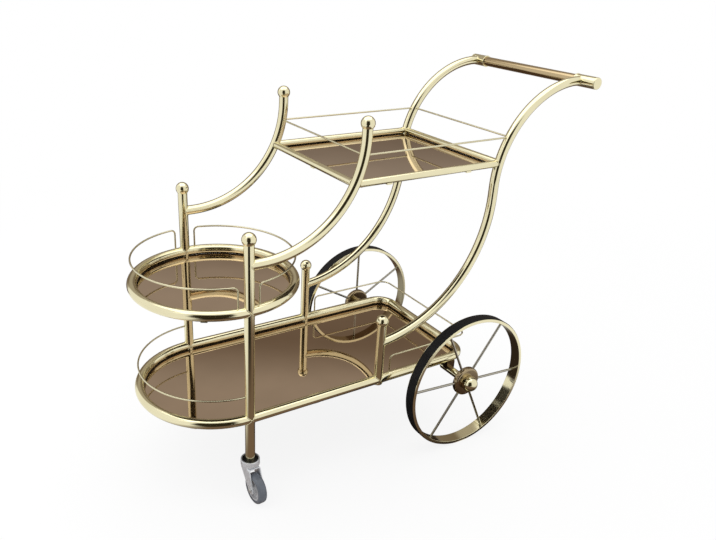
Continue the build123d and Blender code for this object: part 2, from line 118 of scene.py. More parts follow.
# Places read from the frame
FRONT_X = measured(middle("left_front_post").x)
HALF_WIDTH = measured(middle("right_front_post").y)
REAR_POST_X = measured(middle("left_rear_post").x)
LOWER_Z = measured(middle("lower_left_rail").z)
ROUND_Z = measured(middle("round_front_rim").z)
UPPER_Z = measured(middle("upper_front_rail").z)
UPPER_FRONT_X = measured(middle("upper_front_rail").x)
UPPER_REAR_X = measured(middle("upper_rear_rail").x)
UPPER_WIRE_Z = measured(middle("upper_front_wire").z)
UPPER_WIRE_FRONT_X = measured(middle("upper_front_wire").x)
UPPER_WIRE_REAR_X = measured(middle("upper_rear_wire").x)
LOWER_FRONT_WIRE_Z = measured(middle("lower_front_wire").z)
HANDLE = middle("handle_grip")
AXLE = middle("axle")


def length(name, description, default):
    """A length that a user would change."""
    return FloatProperty(name=name, description=description, default=default, unit="LENGTH", precision=4)


def angle(name, description, degrees):
    """An angle that a user would change."""
    turn = math.radians(degrees)
    return FloatProperty(name=name, description=description, default=turn, unit="ROTATION")


def number(name, description, default):
    """A plain number that a user would change."""
    return FloatProperty(name=name, description=description, default=default)


def count(name, description, default):
    """A whole number that a user would change."""
    return IntProperty(name=name, description=description, default=default, min=1)


def colour(name, description, default):
    """A colour that a user would change."""
    return FloatVectorProperty(
        name=name, description=description, default=default, subtype="COLOR", size=3, min=0, max=1
    )


def place(name, description, default):
    """A point that a user would change."""
    return FloatVectorProperty(
        name=name, description=description, default=default, subtype="TRANSLATION", size=3
    )


class CartTubes(bpy.types.PropertyGroup):
    """Round stock of the frame and its bends"""

    tube: length("Tube radius", "Posts, arms and rims", stock_radius("left_front_post", "x"))
    rail: length("Rail radius", "Upper tray rails", stock_radius("upper_front_rail", "z"))
    wire: length("Wire radius", "Gallery wires", stock_radius("upper_front_wire", "z"))
    tube_sides: count("Tube sides", "Facets round a tube", 40)
    wire_sides: count("Wire sides", "Facets round a wire", 16)
    front_bend: length("Front arm bend", "Radius of the front arm's quarter bend", 0.237)
    lower_bend: length("Lower arm bend", "Radius of the rear arm's lower bend", 0.3193)
    lower_bend_height: length("Lower bend height", "Height of that bend's centre", 0.6253)
    upper_bend: length("Upper arm bend", "Radius of the rear arm's upper bend", 0.2281)
    handle_straight: length("Handle straight", "Straight length between bend and handle", 0.0099)
    rim_corner: length("Rim corner", "Bend radius of the lower rim's rear corners", 0.045)
    wire_corner: length("Wire corner", "Bend radius of the lower wire's rear corners", 0.025)
    wire_bend: length("Wire leg bend", "Bend radius where a wire turns down", 0.010)
    wire_leg_gap: length("Wire leg gap", "Distance of a wire's leg from the post beside it", 0.024)
    bead: length("Braze bead", "Radius of the braze bead round a tube joint", 0.0011)
    wire_bead: length("Wire bead", "Radius of the braze bead round a wire's end", 0.0007)


class CartTrays(bpy.types.PropertyGroup):
    """Glass shelves and what carries them"""

    arris: length("Glass arris", "Width of the ground edge of the glass", 0.0006)
    border_step: length("Border step", "Depth of the ground border below the glass top", 0.0002)
    border_reach: length("Border reach", "How far the border is drawn out until it meets the rim", 0.001)
    tab_edge: length("Tab edge", "Broken edge of a glass tab", 0.0003)
    pad_edge: length("Pad edge", "Rounded edge of a clear pad", 0.0002)


class CartHandle(bpy.types.PropertyGroup):
    """Push handle"""

    grip: length("Grip radius", "Handle tube", stock_radius("handle_grip", "x"))
    sleeve: length("Sleeve radius", "Sleeve over the handle's end", 0.014)
    collar: length("Collar radius", "Collar on the sleeve", 0.015)
    collar_length: length("Collar length", "Width of the collar", 0.003)
    edge: length("Edge", "Rounded edge of sleeves and collars", 0.0008)
    cap_seat: length("Cap seat", "Rounded edge of an end cap where it meets the sleeve", 0.0004)
    cap_edge: length("Cap edge", "Rounded outer edge of an end cap", 0.0018)


class CartWheels(bpy.types.PropertyGroup):
    """Spoked rear wheels and their axle"""

    rim_inner: length("Rim inside", "Radius inside the rim", 0.166)
    rim_base: length("Rim base", "Thickness of the rim's base", 0.002)
    flange: length("Flange", "Thickness of the rim's flange", 0.002)
    rim_edge: length("Rim edge", "Rounded edge of the rim", 0.0007)
    tread_round: length("Tread round", "Rounded shoulder of the tyre", 0.0012)
    spokes: count("Spokes", "Spokes of one wheel", 6)
    spoke: length("Spoke radius", "Rod of a spoke", 0.003)
    spoke_root: length("Spoke root", "Radius at which a spoke starts inside the hub", 0.030)
    left_phase: angle("Left phase", "Turn of the left wheel's spokes", -4.3)
    right_phase: angle("Right phase", "Turn of the right wheel's spokes", 30.0)
    hub_disc: length("Hub disc", "Thickness of the hub's disc", 0.016)
    hub_round: length("Hub round", "Rounded edge of the hub's disc", 0.005)
    hub_bore: length("Hub bore", "Radius of the bore that the axle passes through", 0.0061)
    boss: length("Boss radius", "Boss in the middle of the hub", 0.013)
    boss_edge: length("Boss edge", "Rounded edge of the boss", 0.0004)
    sleeve_start: length("Sleeve start", "Inner end of an axle sleeve, from the middle", 0.160)
    sleeve_edge: length("Sleeve edge", "Rounded edge of an axle sleeve", 0.0006)
    saddle_edge: length("Saddle edge", "Broken edge of an axle saddle", 0.0008)


class CartCasters(bpy.types.PropertyGroup):
    """Swivel casters"""

    cup_wall: length("Cup wall", "Wall round the cup's recess", 0.003)
    cup_edge: length("Cup edge", "Rounded upper edges of the cup and its stem", 0.0012)
    recess_edge: length("Recess edge", "Rounded edges of the cup's recess", 0.0006)
    cup_base: length("Cup base", "Rounding of the cup's lower edge, above the fork", 0.0035)
    recess: length("Cup recess", "Depth of the recess round the post", 0.0055)
    stem: length("Cup stem", "Radius of the stem inside the post", 0.0088)
    pin_bore: length("Pin bore", "Radius of the bore that the fork's pin turns in", 0.0052)
    pin_top: length("Pin top", "Height of that bore's upper end above the floor", 0.0942)
    bush_edge: length("Bush edge", "Rounded edge of the bush", 0.0012)
    fork_edge: length("Fork edge", "Broken edge of the bent sheet and the bolt", 0.0004)
    width: length("Tread width", "Width of the tread", 0.020)
    hub_width: length("Hub width", "Length of the core's hub", 0.0226)
    core: length("Core radius", "Outside of the wheel's core", 0.027)
    core_inset: length("Core inset", "Depth of the core's rim below the tread's side", 0.001)
    core_wall: length("Core wall", "Thickness of the core's rim", 0.004)
    web: length("Core web", "Thickness of the core's web", 0.007)
    hub: length("Core hub", "Radius of the core's hub", 0.010)
    bore: length("Core bore", "Radius of the bore in the core's hub", 0.0031)
    core_edge: length("Core edge", "Rounded edges of the core", 0.0008)
    tread_round: length("Tread round", "Rounded shoulder of the tread", 0.005)


class CartColours(bpy.types.PropertyGroup):
    """Colours of the finishes"""

    gold: colour("Gold", "Polished tube", (0.79, 0.73, 0.485))
    wire: colour("Wire", "Gallery wires", (0.64, 0.59, 0.40))
    # The spoke colour is the wires' plating made darker: painted shade for the dim floor that the spokes
    # reflect
    spoke: colour("Spoke", "Spokes, darker than the wires", (0.42, 0.40, 0.34))
    bronze: colour("Bronze", "Handle grip", (0.50, 0.385, 0.22))
    hub: colour("Hub", "Turned wheel hubs", (0.36, 0.28, 0.17))
    dark_bronze: colour("Dark bronze", "Axle saddles", (0.13, 0.085, 0.045))
    mirror: colour("Mirror", "Bronze mirror glass", (0.60, 0.47, 0.35))
    # The ground edge's own dark tone, darkened further as painted shade for the crevice where the glass
    # meets the rim
    edge_and_crevice_shade: colour("Glass edge", "Ground edge of the glass", (0.055, 0.036, 0.02))
    backing: colour("Backing", "Paint behind the mirror", (0.05, 0.038, 0.028))
    zinc: colour("Zinc", "Plated caster metal", (0.78, 0.80, 0.83))
    steel: colour("Steel", "Axle and bolts", (0.56, 0.55, 0.53))
    core: colour("Core", "Caster wheel core", (0.46, 0.46, 0.47))
    tread: colour("Tread", "Caster tread", (0.125, 0.14, 0.165))
    tyre: colour("Tyre", "Rear wheel tyre", (0.008, 0.0078, 0.0085))
    # The bush is black partly as painted shade for the recess round the post's foot
    bush: colour("Bush", "Black bushes in the caster cups", (0.010, 0.010, 0.010))
    pad: colour("Pad", "Clear pads", (0.80, 0.82, 0.80))


# Cards that are seen only in reflections. Distances are metres forwards, to the camera, and to the
# right of the picture. On the floor: name, colour, fade, height, then for the back and the front edge
# its forward place, left end and right end
FLOOR_CARDS = (
    ("far_floor", "far_floor", 0.3, 0.002, (-1.60, -2.4, 2.4), (-0.45, -2.0, 2.0)),
    # Painted shade seen only in reflections: the floor in front of the cart, dimmed partly as a dimmer
    # floor and partly for the cart's shadow on it
    ("dim_mat", "mat", 0.45, 0.003, (-0.45, -0.62, 0.85), (1.25, -0.62, 0.85)),
    # Painted shadow seen only in reflections: the dark floor under the cart is the cart's own shadow
    ("under_shade", "under", 0.5, 0.005, (-0.65, -0.55, 0.65), (0.35, -0.55, 0.65)),
    ("dark_flag", "flag", 0.30, 0.007, (0.60, -0.55, 0.25), (3.60, -1.30, 1.10)),
)
# Upright: name, colour, fade, forward and right place of the left and right edge, bottom, top
WALL_CARDS = (
    ("dim_wall", "wall", 0.35, (2.7, -1.6), (2.7, 1.6), -1.2, 3.6),
    ("far_wall", "far_wall", 0.20, (-1.35, -2.6), (-1.35, 2.4), -2.7, 2.7),
    ("far_shade", "far_shade", 0.25, (-1.3, -2.2), (-1.3, 2.4), -1.2, 1.2),
    ("white_panel", "panel", 0.25, (1.05, -1.0), (-0.15, -1.4), 0.0, 2.2),
)

# Soft boxes: name, place, width and how many times the lamp power every square metre of it gives
LAMPS = (
    ("main_box", (-2.35, 0.58, 2.2), 2.4, 1.5),
    ("top_box", (0.1, 0.4, 2.9), 3.4, 1.2),
)


class CartStage(bpy.types.PropertyGroup):
    """Camera, light and floor"""

    eye: place("Eye", "Place of the camera", (-0.9041, -1.3446, 1.1370))
    target: place("Target", "Point that the camera looks at", (-0.0709, 0.0, 0.4258))
    roll: angle("Roll", "Turn of the camera about its own axis", 2.27)
    lens: number("Lens", "Focal length in millimetres", 36.0)
    shift_x: number("Shift across", "Sideways shift of the picture", 0.0514)
    shift_y: number("Shift up", "Upward shift of the picture", 0.0036)
    floor: colour("Floor", "Pale floor", (0.92, 0.92, 0.92))
    floor_reach: length("Floor reach", "Half the width of the floor", 12.0)
    ambient: number("Ambient", "Strength of the surrounding light", 0.80)
    floor_glow: number("Floor glow", "Share of plain white in the floor's picture at the cart", 0.86)
    glow_start: length("Glow start", "Distance at which the floor starts to turn plain white", 0.9)
    glow_end: length("Glow end", "Distance from which the floor is plain white", 2.6)
    # Painted shade: the floor round the cart as the metal sees it, dimmed partly for a dimmer floor and
    # partly for the cart's shadow
    mat: colour("Mat", "Dim floor in front of the cart", (0.19, 0.13, 0.10))
    # Painted shadow: the cart's shadow on the floor under it, seen only in reflections
    under: colour("Under", "Dark floor under the cart", (0.030, 0.021, 0.015))
    flag: colour("Flag", "Dark floor round the camera", (0.020, 0.016, 0.010))
    wall: colour("Wall", "Dark wall behind the camera", (0.030, 0.024, 0.014))
    far_wall: colour("Far wall", "Dim wall behind the cart", (0.43, 0.385, 0.335))
    far_floor: colour("Far floor", "Dim floor behind the cart", (0.10, 0.065, 0.045))
    far_shade: colour("Far shade", "Darker foot of that wall", (0.21, 0.165, 0.125))
    panel: colour("Panel", "White panel at the left", (1.0, 1.0, 1.0))
    lamp_power: number("Lamp power", "Watts for every square metre of a soft box", 2.4)


GROUPS = {
    "cart_tubes": CartTubes,
    "cart_trays": CartTrays,
    "cart_handle": CartHandle,
    "cart_wheels": CartWheels,
    "cart_casters": CartCasters,
    "cart_colours": CartColours,
    "cart_stage": CartStage,
}


# Node trees

def add_node(tree, node_type, inputs=None, **settings):
    """A node with its settings, and its inputs linked to a socket or set to a value."""
    node = tree.nodes.new(node_type)
    for name, value in settings.items():
        setattr(node, name, value)
    for name, value in (inputs or {}).items():
        if isinstance(value, bpy.types.NodeSocket):
            tree.links.new(value, node.inputs[name])
        else:
            node.inputs[name].default_value = value
    return node


def result(tree, node_type, inputs=None, **settings):
    """First output of a new node."""
    return add_node(tree, node_type, inputs, **settings).outputs[0]


def math_node(tree, operation, first, second=0.0):
    """Result of one sum on sockets or numbers."""
    return result(tree, "ShaderNodeMath", {0: first, 1: second}, operation=operation)


def ranged(tree, value, given, wanted, kind="LINEAR"):
    """A number that goes through the wanted range while a value goes through the given one."""
    ends = {"From Min": given[0], "From Max": given[1], "To Min": wanted[0], "To Max": wanted[1]}
    return result(tree, "ShaderNodeMapRange", {"Value": value, **ends}, interpolation_type=kind)


def shape_inputs(tree, **kinds):
    """Gives a geometry tree its named inputs and its output, and returns the sockets of the inputs."""
    inputs = {"Geometry": "Geometry", **kinds, "Material": "Material"}
    for name, kind in inputs.items():
        tree.interface.new_socket(name, in_out="INPUT", socket_type=f"NodeSocket{kind}")
    tree.interface.new_socket("Geometry", in_out="OUTPUT", socket_type="NodeSocketGeometry")
    return tree.nodes.new("NodeGroupInput").outputs


def end_shape(tree, geometry, given):
    """Realizes what a tree made, sets its material and sends it out."""
    real = result(tree, "GeometryNodeRealizeInstances", {"Geometry": geometry})
    finished = result(tree, "GeometryNodeSetMaterial", {"Geometry": real, "Material": given["Material"]})
    add_node(tree, "NodeGroupOutput", {0: finished})


def swept(tree, path, sides, radius):
    """Round stock along a path, closed at its ends."""
    section = result(tree, "GeometryNodeCurvePrimitiveCircle", {"Resolution": sides, "Radius": radius})
    inputs = {"Curve": path, "Profile Curve": section, "Fill Caps": True}
    return result(tree, "GeometryNodeCurveToMesh", inputs)


def round_stock_tree(tree):
    """Round stock that follows the path it is given."""
    given = shape_inputs(tree, Radius="Float", Sides="Int")
    path = result(tree, "GeometryNodeMeshToCurve", {"Mesh": given["Geometry"]})
    end_shape(tree, swept(tree, path, given["Sides"], given["Radius"]), given)


def repeat_tree(tree):
    """A piece set on every point that it is given."""
    given = shape_inputs(tree, Piece="Object")
    piece = add_node(tree, "GeometryNodeObjectInfo", {"Object": given["Piece"]}).outputs["Geometry"]
    inputs = {"Points": given["Geometry"], "Instance": piece}
    end_shape(tree, result(tree, "GeometryNodeInstanceOnPoints", inputs), given)


def spoke_tree(tree):
    """Rods set out evenly round an axis, from the hub to the rim."""
    given = shape_inputs(tree, Count="Int", Inner="Float", Outer="Float", Radius="Float", Phase="Float")
    root = result(tree, "ShaderNodeCombineXYZ", {"X": given["Inner"]})
    tip = result(tree, "ShaderNodeCombineXYZ", {"X": given["Outer"]})
    line = result(tree, "GeometryNodeCurvePrimitiveLine", {"Start": root, "End": tip})
    rod = swept(tree, line, SPOKE_SIDES, given["Radius"])
    points = result(tree, "GeometryNodePoints", {"Count": given["Count"]})
    index = result(tree, "GeometryNodeInputIndex")
    step = math_node(tree, "DIVIDE", 2 * math.pi, given["Count"])
    turn = math_node(tree, "ADD", math_node(tree, "MULTIPLY", index, step), given["Phase"])
    euler = result(tree, "ShaderNodeCombineXYZ", {"Z": turn})
    rotation = result(tree, "FunctionNodeEulerToRotation", {"Euler": euler})
    inputs = {"Points": points, "Instance": rod, "Rotation": rotation}
    end_shape(tree, result(tree, "GeometryNodeInstanceOnPoints", inputs), given)


def bead_tree(tree):
    """A braze bead along the line where a branch tube leaves a main tube that runs along Y.

    The branch runs along Z, and the lean is how far it is from square to the main tube. The points of
    the ring are turned by half a step, so that none lies where two equal tubes meet in a cusp.
    """
    given = shape_inputs(tree, Main="Float", Branch="Float", Bead="Float", Lean="Float")
    sizes = {"Resolution": BEAD_STEPS, "Radius": given["Branch"]}
    ring = result(tree, "GeometryNodeCurvePrimitiveCircle", sizes)
    start = result(tree, "GeometryNodeInputPosition")
    spot = result(tree, "ShaderNodeVectorRotate", {"Vector": start, "Angle": math.pi / BEAD_STEPS})
    parts = add_node(tree, "ShaderNodeSeparateXYZ", {"Vector": spot}).outputs
    across = math_node(tree, "MULTIPLY", parts["X"], parts["X"])
    main = math_node(tree, "MULTIPLY", given["Main"], given["Main"])
    inside = math_node(tree, "MAXIMUM", math_node(tree, "SUBTRACT", main, across), 0.0)
    leaned = math_node(tree, "MULTIPLY", parts["Y"], math_node(tree, "SINE", given["Lean"]))
    rise = math_node(tree, "ADD", math_node(tree, "SQRT", inside), leaned)
    height = math_node(tree, "DIVIDE", rise, math_node(tree, "COSINE", given["Lean"]))
    saddle = result(tree, "ShaderNodeCombineXYZ", {"X": parts["X"], "Y": parts["Y"], "Z": height})
    line = result(tree, "GeometryNodeSetPosition", {"Geometry": ring, "Position": saddle})
    end_shape(tree, swept(tree, line, BEAD_SIDES, given["Bead"]), given)


def shape_tree(build):
    """The tree that a function builds, made on first use and named for it."""
    name = build.__name__
    if name not in bpy.data.node_groups:
        build(bpy.data.node_groups.new(name, "GeometryNodeTree"))
    return bpy.data.node_groups[name]


# Meshes

def add_object(name, content):
    """An object with a mesh, lamp or camera, linked to the scene."""
    made = bpy.data.objects.new(name, content)
    bpy.context.scene.collection.objects.link(made)
    return made


def evaluated_mesh(source):
    """A plain mesh of an object with its modifiers applied. The object is removed."""
    graph = bpy.context.evaluated_depsgraph_get()
    mesh = bpy.data.meshes.new_from_object(source.evaluated_get(graph))
    source.modifiers.clear()
    bpy.data.objects.remove(source)
    return mesh


def tree_mesh(build, base, **values):
    """Runs a geometry tree on a base mesh and returns the result as a plain mesh."""
    tree = shape_tree(build)
    source = add_object("tree_base", base)
    modifier = source.modifiers.new("tree", "NODES")
    modifier.node_group = tree
    for item in tree.interface.items_tree:
        if item.in_out == "INPUT" and item.name in values:
            modifier[item.identifier] = values[item.name]
    return evaluated_mesh(source)


def point_mesh(points, edges=()):
    """A mesh of bare points, or of points joined by edges."""
    mesh = bpy.data.meshes.new("points")
    mesh.from_pydata(points, edges, [])
    return mesh


def bent_path(corners, radii, closed=False):
    """Points along straight runs whose corners are rounded by arcs of the given radii."""
    corners = [Vector(corner).to_3d() for corner in corners]
    if closed:
        runs = zip(corners[-1:] + corners[:-1], corners, corners[1:] + corners[:1], radii)
        points = []
    else:
        runs = zip(corners, corners[1:], corners[2:], radii)
        points = [corners[0]]
    for before, corner, after, radius in runs:
        arriving = (before - corner).normalized()
        leaving = (after - corner).normalized()
        half_turn = (math.pi - arriving.angle(leaving)) / 2
        if radius == 0 or half_turn < SAME_PLACE:
            points.append(corner)
            continue
        centre = corner + (arriving + leaving).normalized() * radius / math.cos(half_turn)
        reach = radius * math.tan(half_turn)
        first = corner + arriving * reach - centre
        last = corner + leaving * reach - centre
        axis = first.cross(last).normalized()
        steps = max(FEWEST_ARC_STEPS, math.ceil(2 * half_turn / ARC_STEP))
        for step in range(steps + 1):
            points.append(centre + Quaternion(axis, 2 * half_turn * step / steps) @ first)
    if not closed:
        points.append(corners[-1])
    kept = [points[0]]
    for point in points[1:]:
        if (point - kept[-1]).length > SAME_PLACE:
            kept.append(point)
    if closed and (kept[-1] - kept[0]).length < SAME_PLACE:
        kept.pop()
    return kept


def mesh_from(shape):
    """A mesh from an edit shape, which is freed."""
    mesh = bpy.data.meshes.new("shape")
    shape.to_mesh(mesh)
    shape.free()
    return mesh


def turned(profile, closed=False, sides=SMALL_TURN_SIDES):
    """A mesh turned round Z from points of radius and height."""
    shape = bmesh.new()
    turns = [2 * math.pi * index / sides for index in range(sides)]
    rings = []
    for point in profile:
        radius, height = point[0], point[1]
        if radius < SAME_PLACE:
            rings.append([shape.verts.new((0, 0, height))])
            continue
        ring = [shape.verts.new((radius * math.cos(t), radius * math.sin(t), height)) for t in turns]
        rings.append(ring)
    pairs = list(zip(rings, rings[1:]))
    if closed:
        pairs.append((rings[-1], rings[0]))
    for low, high in pairs:
        for index in range(sides):
            after = (index + 1) % sides
            corners = [low[index % len(low)], low[after % len(low)]]
            corners += [high[after % len(high)], high[index % len(high)]]
            distinct = list(dict.fromkeys(corners))
            if len(distinct) > 2:
                shape.faces.new(distinct)
    bmesh.ops.recalc_face_normals(shape, faces=shape.faces)
    return mesh_from(shape)


def placed(mesh, where):
    """A mesh moved to a place."""
    mesh.transform(where)
    return mesh


def turned_piece(profile, where, closed=True, sides=SMALL_TURN_SIDES):
    """A mesh turned round Z from corners of radius, height and rounding, and moved to its place.

    A closed profile makes a ring. An open one starts and ends on the axis.
    """
    corners = [(radius, height) for radius, height, rounding in profile]
    radii = [rounding for radius, height, rounding in profile]
    points = bent_path(corners, radii if closed else radii[1:-1], closed)
    return placed(turned(points, closed, sides), where)


def evenly_rounded(corners, rounding):
    """A profile whose corners of radius and height are all rounded alike."""
    return [(radius, height, rounding) for radius, height in corners]


def both_faces(half):
    """A profile that is alike on both faces, from the corners of one face."""
    return [(radius, -height, rounding) for radius, height, rounding in half] + list(reversed(half))


def ball_profile(radius, base, centre):
    """Points of a ball above a flat base, with the heights of base and centre."""
    start = -math.asin((centre - base) / radius)
    turns = [start + (math.pi / 2 - start) * step / BALL_STEPS for step in range(BALL_STEPS + 1)]
    arc = [(radius * math.cos(turn), centre + radius * math.sin(turn)) for turn in turns]
    return [(0, base)] + arc


def softened(node, edge):
    """A copy of a node's mesh with its seams merged, flat faces joined and sharp edges rounded.

    The normals follow the large faces, so that flat faces stay flat right up to their rounded edges.
    """
    shape = bmesh.new()
    shape.from_mesh(frame["nodes"][node].data)
    bmesh.ops.remove_doubles(shape, verts=shape.verts, dist=SAME_PLACE)
    bmesh.ops.dissolve_limit(shape, angle_limit=FLATNESS, verts=shape.verts, edges=shape.edges)
    for face in shape.faces:
        face.smooth = True
    source = add_object("softened", mesh_from(shape))
    bevel = source.modifiers.new("bevel", "BEVEL")
    bevel.width = edge
    bevel.segments = EDGE_SEGMENTS
    bevel.limit_method = "ANGLE"
    bevel.angle_limit = SHARP_EDGE
    normals = source.modifiers.new("normals", "WEIGHTED_NORMAL")
    normals.weight = LARGE_FACE_WEIGHT
    return evaluated_mesh(source)


def joined(meshes):
    """Several meshes as one."""
    shape = bmesh.new()
    for mesh in meshes:
        shape.from_mesh(mesh)
    return mesh_from(shape)


def repeated(mesh, spots, material):
    """A mesh repeated at every point of a list."""
    piece = add_object("repeated_piece", mesh)
    made = tree_mesh(repeat_tree, point_mesh(spots), Piece=piece, Material=material)
    bpy.data.objects.remove(piece)
    return made


def frame_at(origin, z_axis, y_axis):
    """A place whose Z points along one direction and whose Y along another, square to it."""
    z = z_axis.normalized()
    x = y_axis.cross(z).normalized()
    y = z.cross(x)
    return Matrix.Translation(origin) @ Matrix((x, y, z)).transposed().to_4x4()


def shaded(mesh):
    """Smooth faces with creases where the surface turns sharply, unless the mesh has its own normals."""
    mesh.polygons.foreach_set("use_smooth", [True] * len(mesh.polygons))
    if not mesh.has_custom_normals:
        mesh.set_sharp_from_angle(angle=CREASE)
    return mesh


def add_extra(name, mesh, body, slot, *materials):
    """Puts a finished mesh in the scene, riding a body."""
    mesh.materials.clear()
    for material in materials:
        mesh.materials.append(material)
    piece = add_object(name, shaded(mesh))
    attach(piece, body)
    return piece


def add_piece(node, mesh, body, slot, *materials):
    """Puts a finished mesh in the scene, riding a body and standing for a node."""
    piece = add_extra(f"{node}_finished", mesh, body, slot, *materials)
    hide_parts(node)
    return piece


def add_stock(node, points, radius, sides, slot, material):
    """A piece of round stock along a path, riding the frame."""
    path = point_mesh(points, [(index, index + 1) for index in range(len(points) - 1)])
    mesh = tree_mesh(round_stock_tree, path, Radius=radius, Sides=sides, Material=material)
    add_piece(node, mesh, FRAME_BODY, slot, material)


def add_tube(node, points, radius):
    """A piece of gold tube along a path, riding the frame."""
    sides = bpy.context.scene.cart_tubes.tube_sides
    add_stock(node, points, radius, sides, "gold", finish(polished_gold))


# Finishes

def finish(build):
    """The finish that a function builds, made on first use under a name of its own."""
    name = f"{build.__name__}_finish"
    material = bpy.data.materials.get(name)
    if material is None:
        material = bpy.data.materials.new(name)
        material.use_nodes = True
        tree = material.node_tree
        build(tree, tree.nodes["Principled BSDF"].inputs, bpy.context.scene.cart_colours)
    return material


def own_place(tree, **mapping):
    """The piece's own coordinates, moved or stretched."""
    spot = add_node(tree, "ShaderNodeTexCoord").outputs["Object"]
    return result(tree, "ShaderNodeMapping", {"Vector": spot, **mapping})


def grain(tree, scale, detail, stretch=(1, 1, 1)):
    """Noise on the piece's own coordinates, stretched along its axes."""
    inputs = {"Vector": own_place(tree, Scale=stretch), "Scale": scale, "Detail": detail}
    return add_node(tree, "ShaderNodeTexNoise", inputs).outputs["Fac"]


def tinted(tree, noise, base, shades):
    """A colour that follows noise from a darker to a lighter shade of a base."""
    ramp = add_node(tree, "ShaderNodeValToRGB", {"Fac": noise})
    for stop, position, shade in zip(ramp.color_ramp.elements, NOISE_RANGE, shades):
        stop.position = position
        stop.color = [min(1, channel * shade) for channel in base] + [1]
    return ramp.outputs["Color"]


def bumped(tree, height, depth):
    """A normal that follows a height."""
    return result(tree, "ShaderNodeBump", {"Height": height, "Distance": depth})


def metal(tree, shader, base, roughness, lines=260, depth=0.00002, stretch=(1, 1, 1), metallic=1.0):
    """Bare or plated metal with smudges and fine polishing lines."""
    shader["Metallic"].default_value = metallic
    tint = tinted(tree, grain(tree, scale=9, detail=2), base, shades=(0.95, 1.05))
    smudges = ranged(tree, grain(tree, scale=38, detail=4), NOISE_RANGE, roughness)
    polish = bumped(tree, grain(tree, scale=lines, detail=4, stretch=stretch), depth)
    tree.links.new(tint, shader["Base Color"])
    tree.links.new(smudges, shader["Roughness"])
    tree.links.new(polish, shader["Normal"])


def matt(
    tree, shader, base, roughness, fine, depth, dust=26, sheen=90, shades=(0.82, 1.25), dust_detail=4
):
    """A dull surface with a fine grain, a changing sheen and a little dust, by their noise scales."""
    tint = tinted(tree, grain(tree, scale=dust, detail=dust_detail), base, shades)
    rubbed = ranged(tree, grain(tree, scale=sheen, detail=3), NOISE_RANGE, roughness)
    moulded = bumped(tree, grain(tree, scale=fine, detail=3), depth)
    tree.links.new(tint, shader["Base Color"])
    tree.links.new(rubbed, shader["Roughness"])
    tree.links.new(moulded, shader["Normal"])


def polished_gold(tree, shader, colours):
    """Pale gold plate on tube, polished."""
    metal(tree, shader, colours.gold, roughness=(0.07, 0.13))


def drawn_gold_wire(tree, shader, colours):
    """Gold plate on drawn wire, duller than on tube."""
    metal(tree, shader, colours.wire, roughness=(0.18, 0.28), lines=420)


def drawn_spoke(tree, shader, colours):
    """Plated rod of the spokes, in the wires' plating with a darker colour that is painted shade for the
    dim floor they reflect.
    """
    metal(tree, shader, colours.spoke, roughness=(0.18, 0.28), lines=420)


def satin_bronze(tree, shader, colours):
    """Brushed bronze with its lines along the handle."""
    along = (1, 0.03, 1)
    metal(tree, shader, colours.bronze, roughness=(0.10, 0.16), lines=900, depth=0.00001, stretch=along)


def dark_bronze(tree, shader, colours):
    """Dark bronze plate on machined blocks."""
    metal(tree, shader, colours.dark_bronze, roughness=(0.10, 0.20), lines=320)


def turned_bronze(tree, shader, colours):
    """Bronze plate with the fine rings that turning leaves round the axle."""
    metal(tree, shader, colours.hub, roughness=(0.10, 0.18))
    centred = own_place(tree, Location=(-AXLE.x, 0, -AXLE.z))
    inputs = {"Vector": centred, "Scale": 160, "Distortion": 0.6, "Detail": 1.0}
    rings = add_node(tree, "ShaderNodeTexWave", inputs, wave_type="RINGS", rings_direction="Y")
    tree.links.new(bumped(tree, rings.outputs["Fac"], depth=0.00004), shader["Normal"])


def bright_zinc(tree, shader, colours):
    """Zinc plate on pressed sheet, a little chalky."""
    metal(tree, shader, colours.zinc, roughness=(0.24, 0.36), lines=180, depth=0.00003, metallic=0.45)


def bright_steel(tree, shader, colours):
    """Turned steel."""
    metal(tree, shader, colours.steel, roughness=(0.2, 0.3), lines=500, metallic=0.5)


def bronze_mirror(tree, shader, colours):
    """Bronze glass silvered behind, with faint wiping marks."""
    wiped = (1, 0.25, 1)
    metal(tree, shader, colours.mirror, roughness=(0.012, 0.045), lines=14, depth=0.000004, stretch=wiped)


def ground_edge_and_crevice_shade(tree, shader, colours):
    """Ground edge of the bronze glass, dark partly by its own tone and partly as painted shade for the
    crevice under the rim.
    """
    scales = {"fine": 900, "sheen": 400, "dust": 120, "dust_detail": 3}
    matt(tree, shader, colours.edge_and_crevice_shade, (0.45, 0.65), depth=0.00003, shades=(0.8, 1.2), **scales)
    shader["Specular IOR Level"].default_value = 0.15


def mirror_backing(tree, shader, colours):
    """Rolled paint behind the silvering."""
    scales = {"fine": 320, "sheen": 160, "dust": 30}
    matt(tree, shader, colours.backing, (0.45, 0.65), depth=0.00006, shades=(0.85, 1.12), **scales)


def tyre_rubber(tree, shader, colours):
    """Black solid rubber, duller than moulded plastic."""
    matt(tree, shader, colours.tyre, roughness=(0.42, 0.62), fine=700, depth=0.00008)
    shader["Specular IOR Level"].default_value = 0.15


def grey_rubber(tree, shader, colours):
    """Grey caster tread."""
    matt(tree, shader, colours.tread, roughness=(0.28, 0.42), fine=800, depth=0.00004)


def caster_plastic(tree, shader, colours):
    """Moulded grey core."""
    matt(tree, shader, colours.core, roughness=(0.32, 0.46), fine=600, depth=0.00003)


def black_plastic(tree, shader, colours):
    """Moulded black bush, whose black is partly painted shade for the recess round the post's foot."""
    matt(tree, shader, colours.bush, roughness=(0.34, 0.48), fine=500, depth=0.00003)


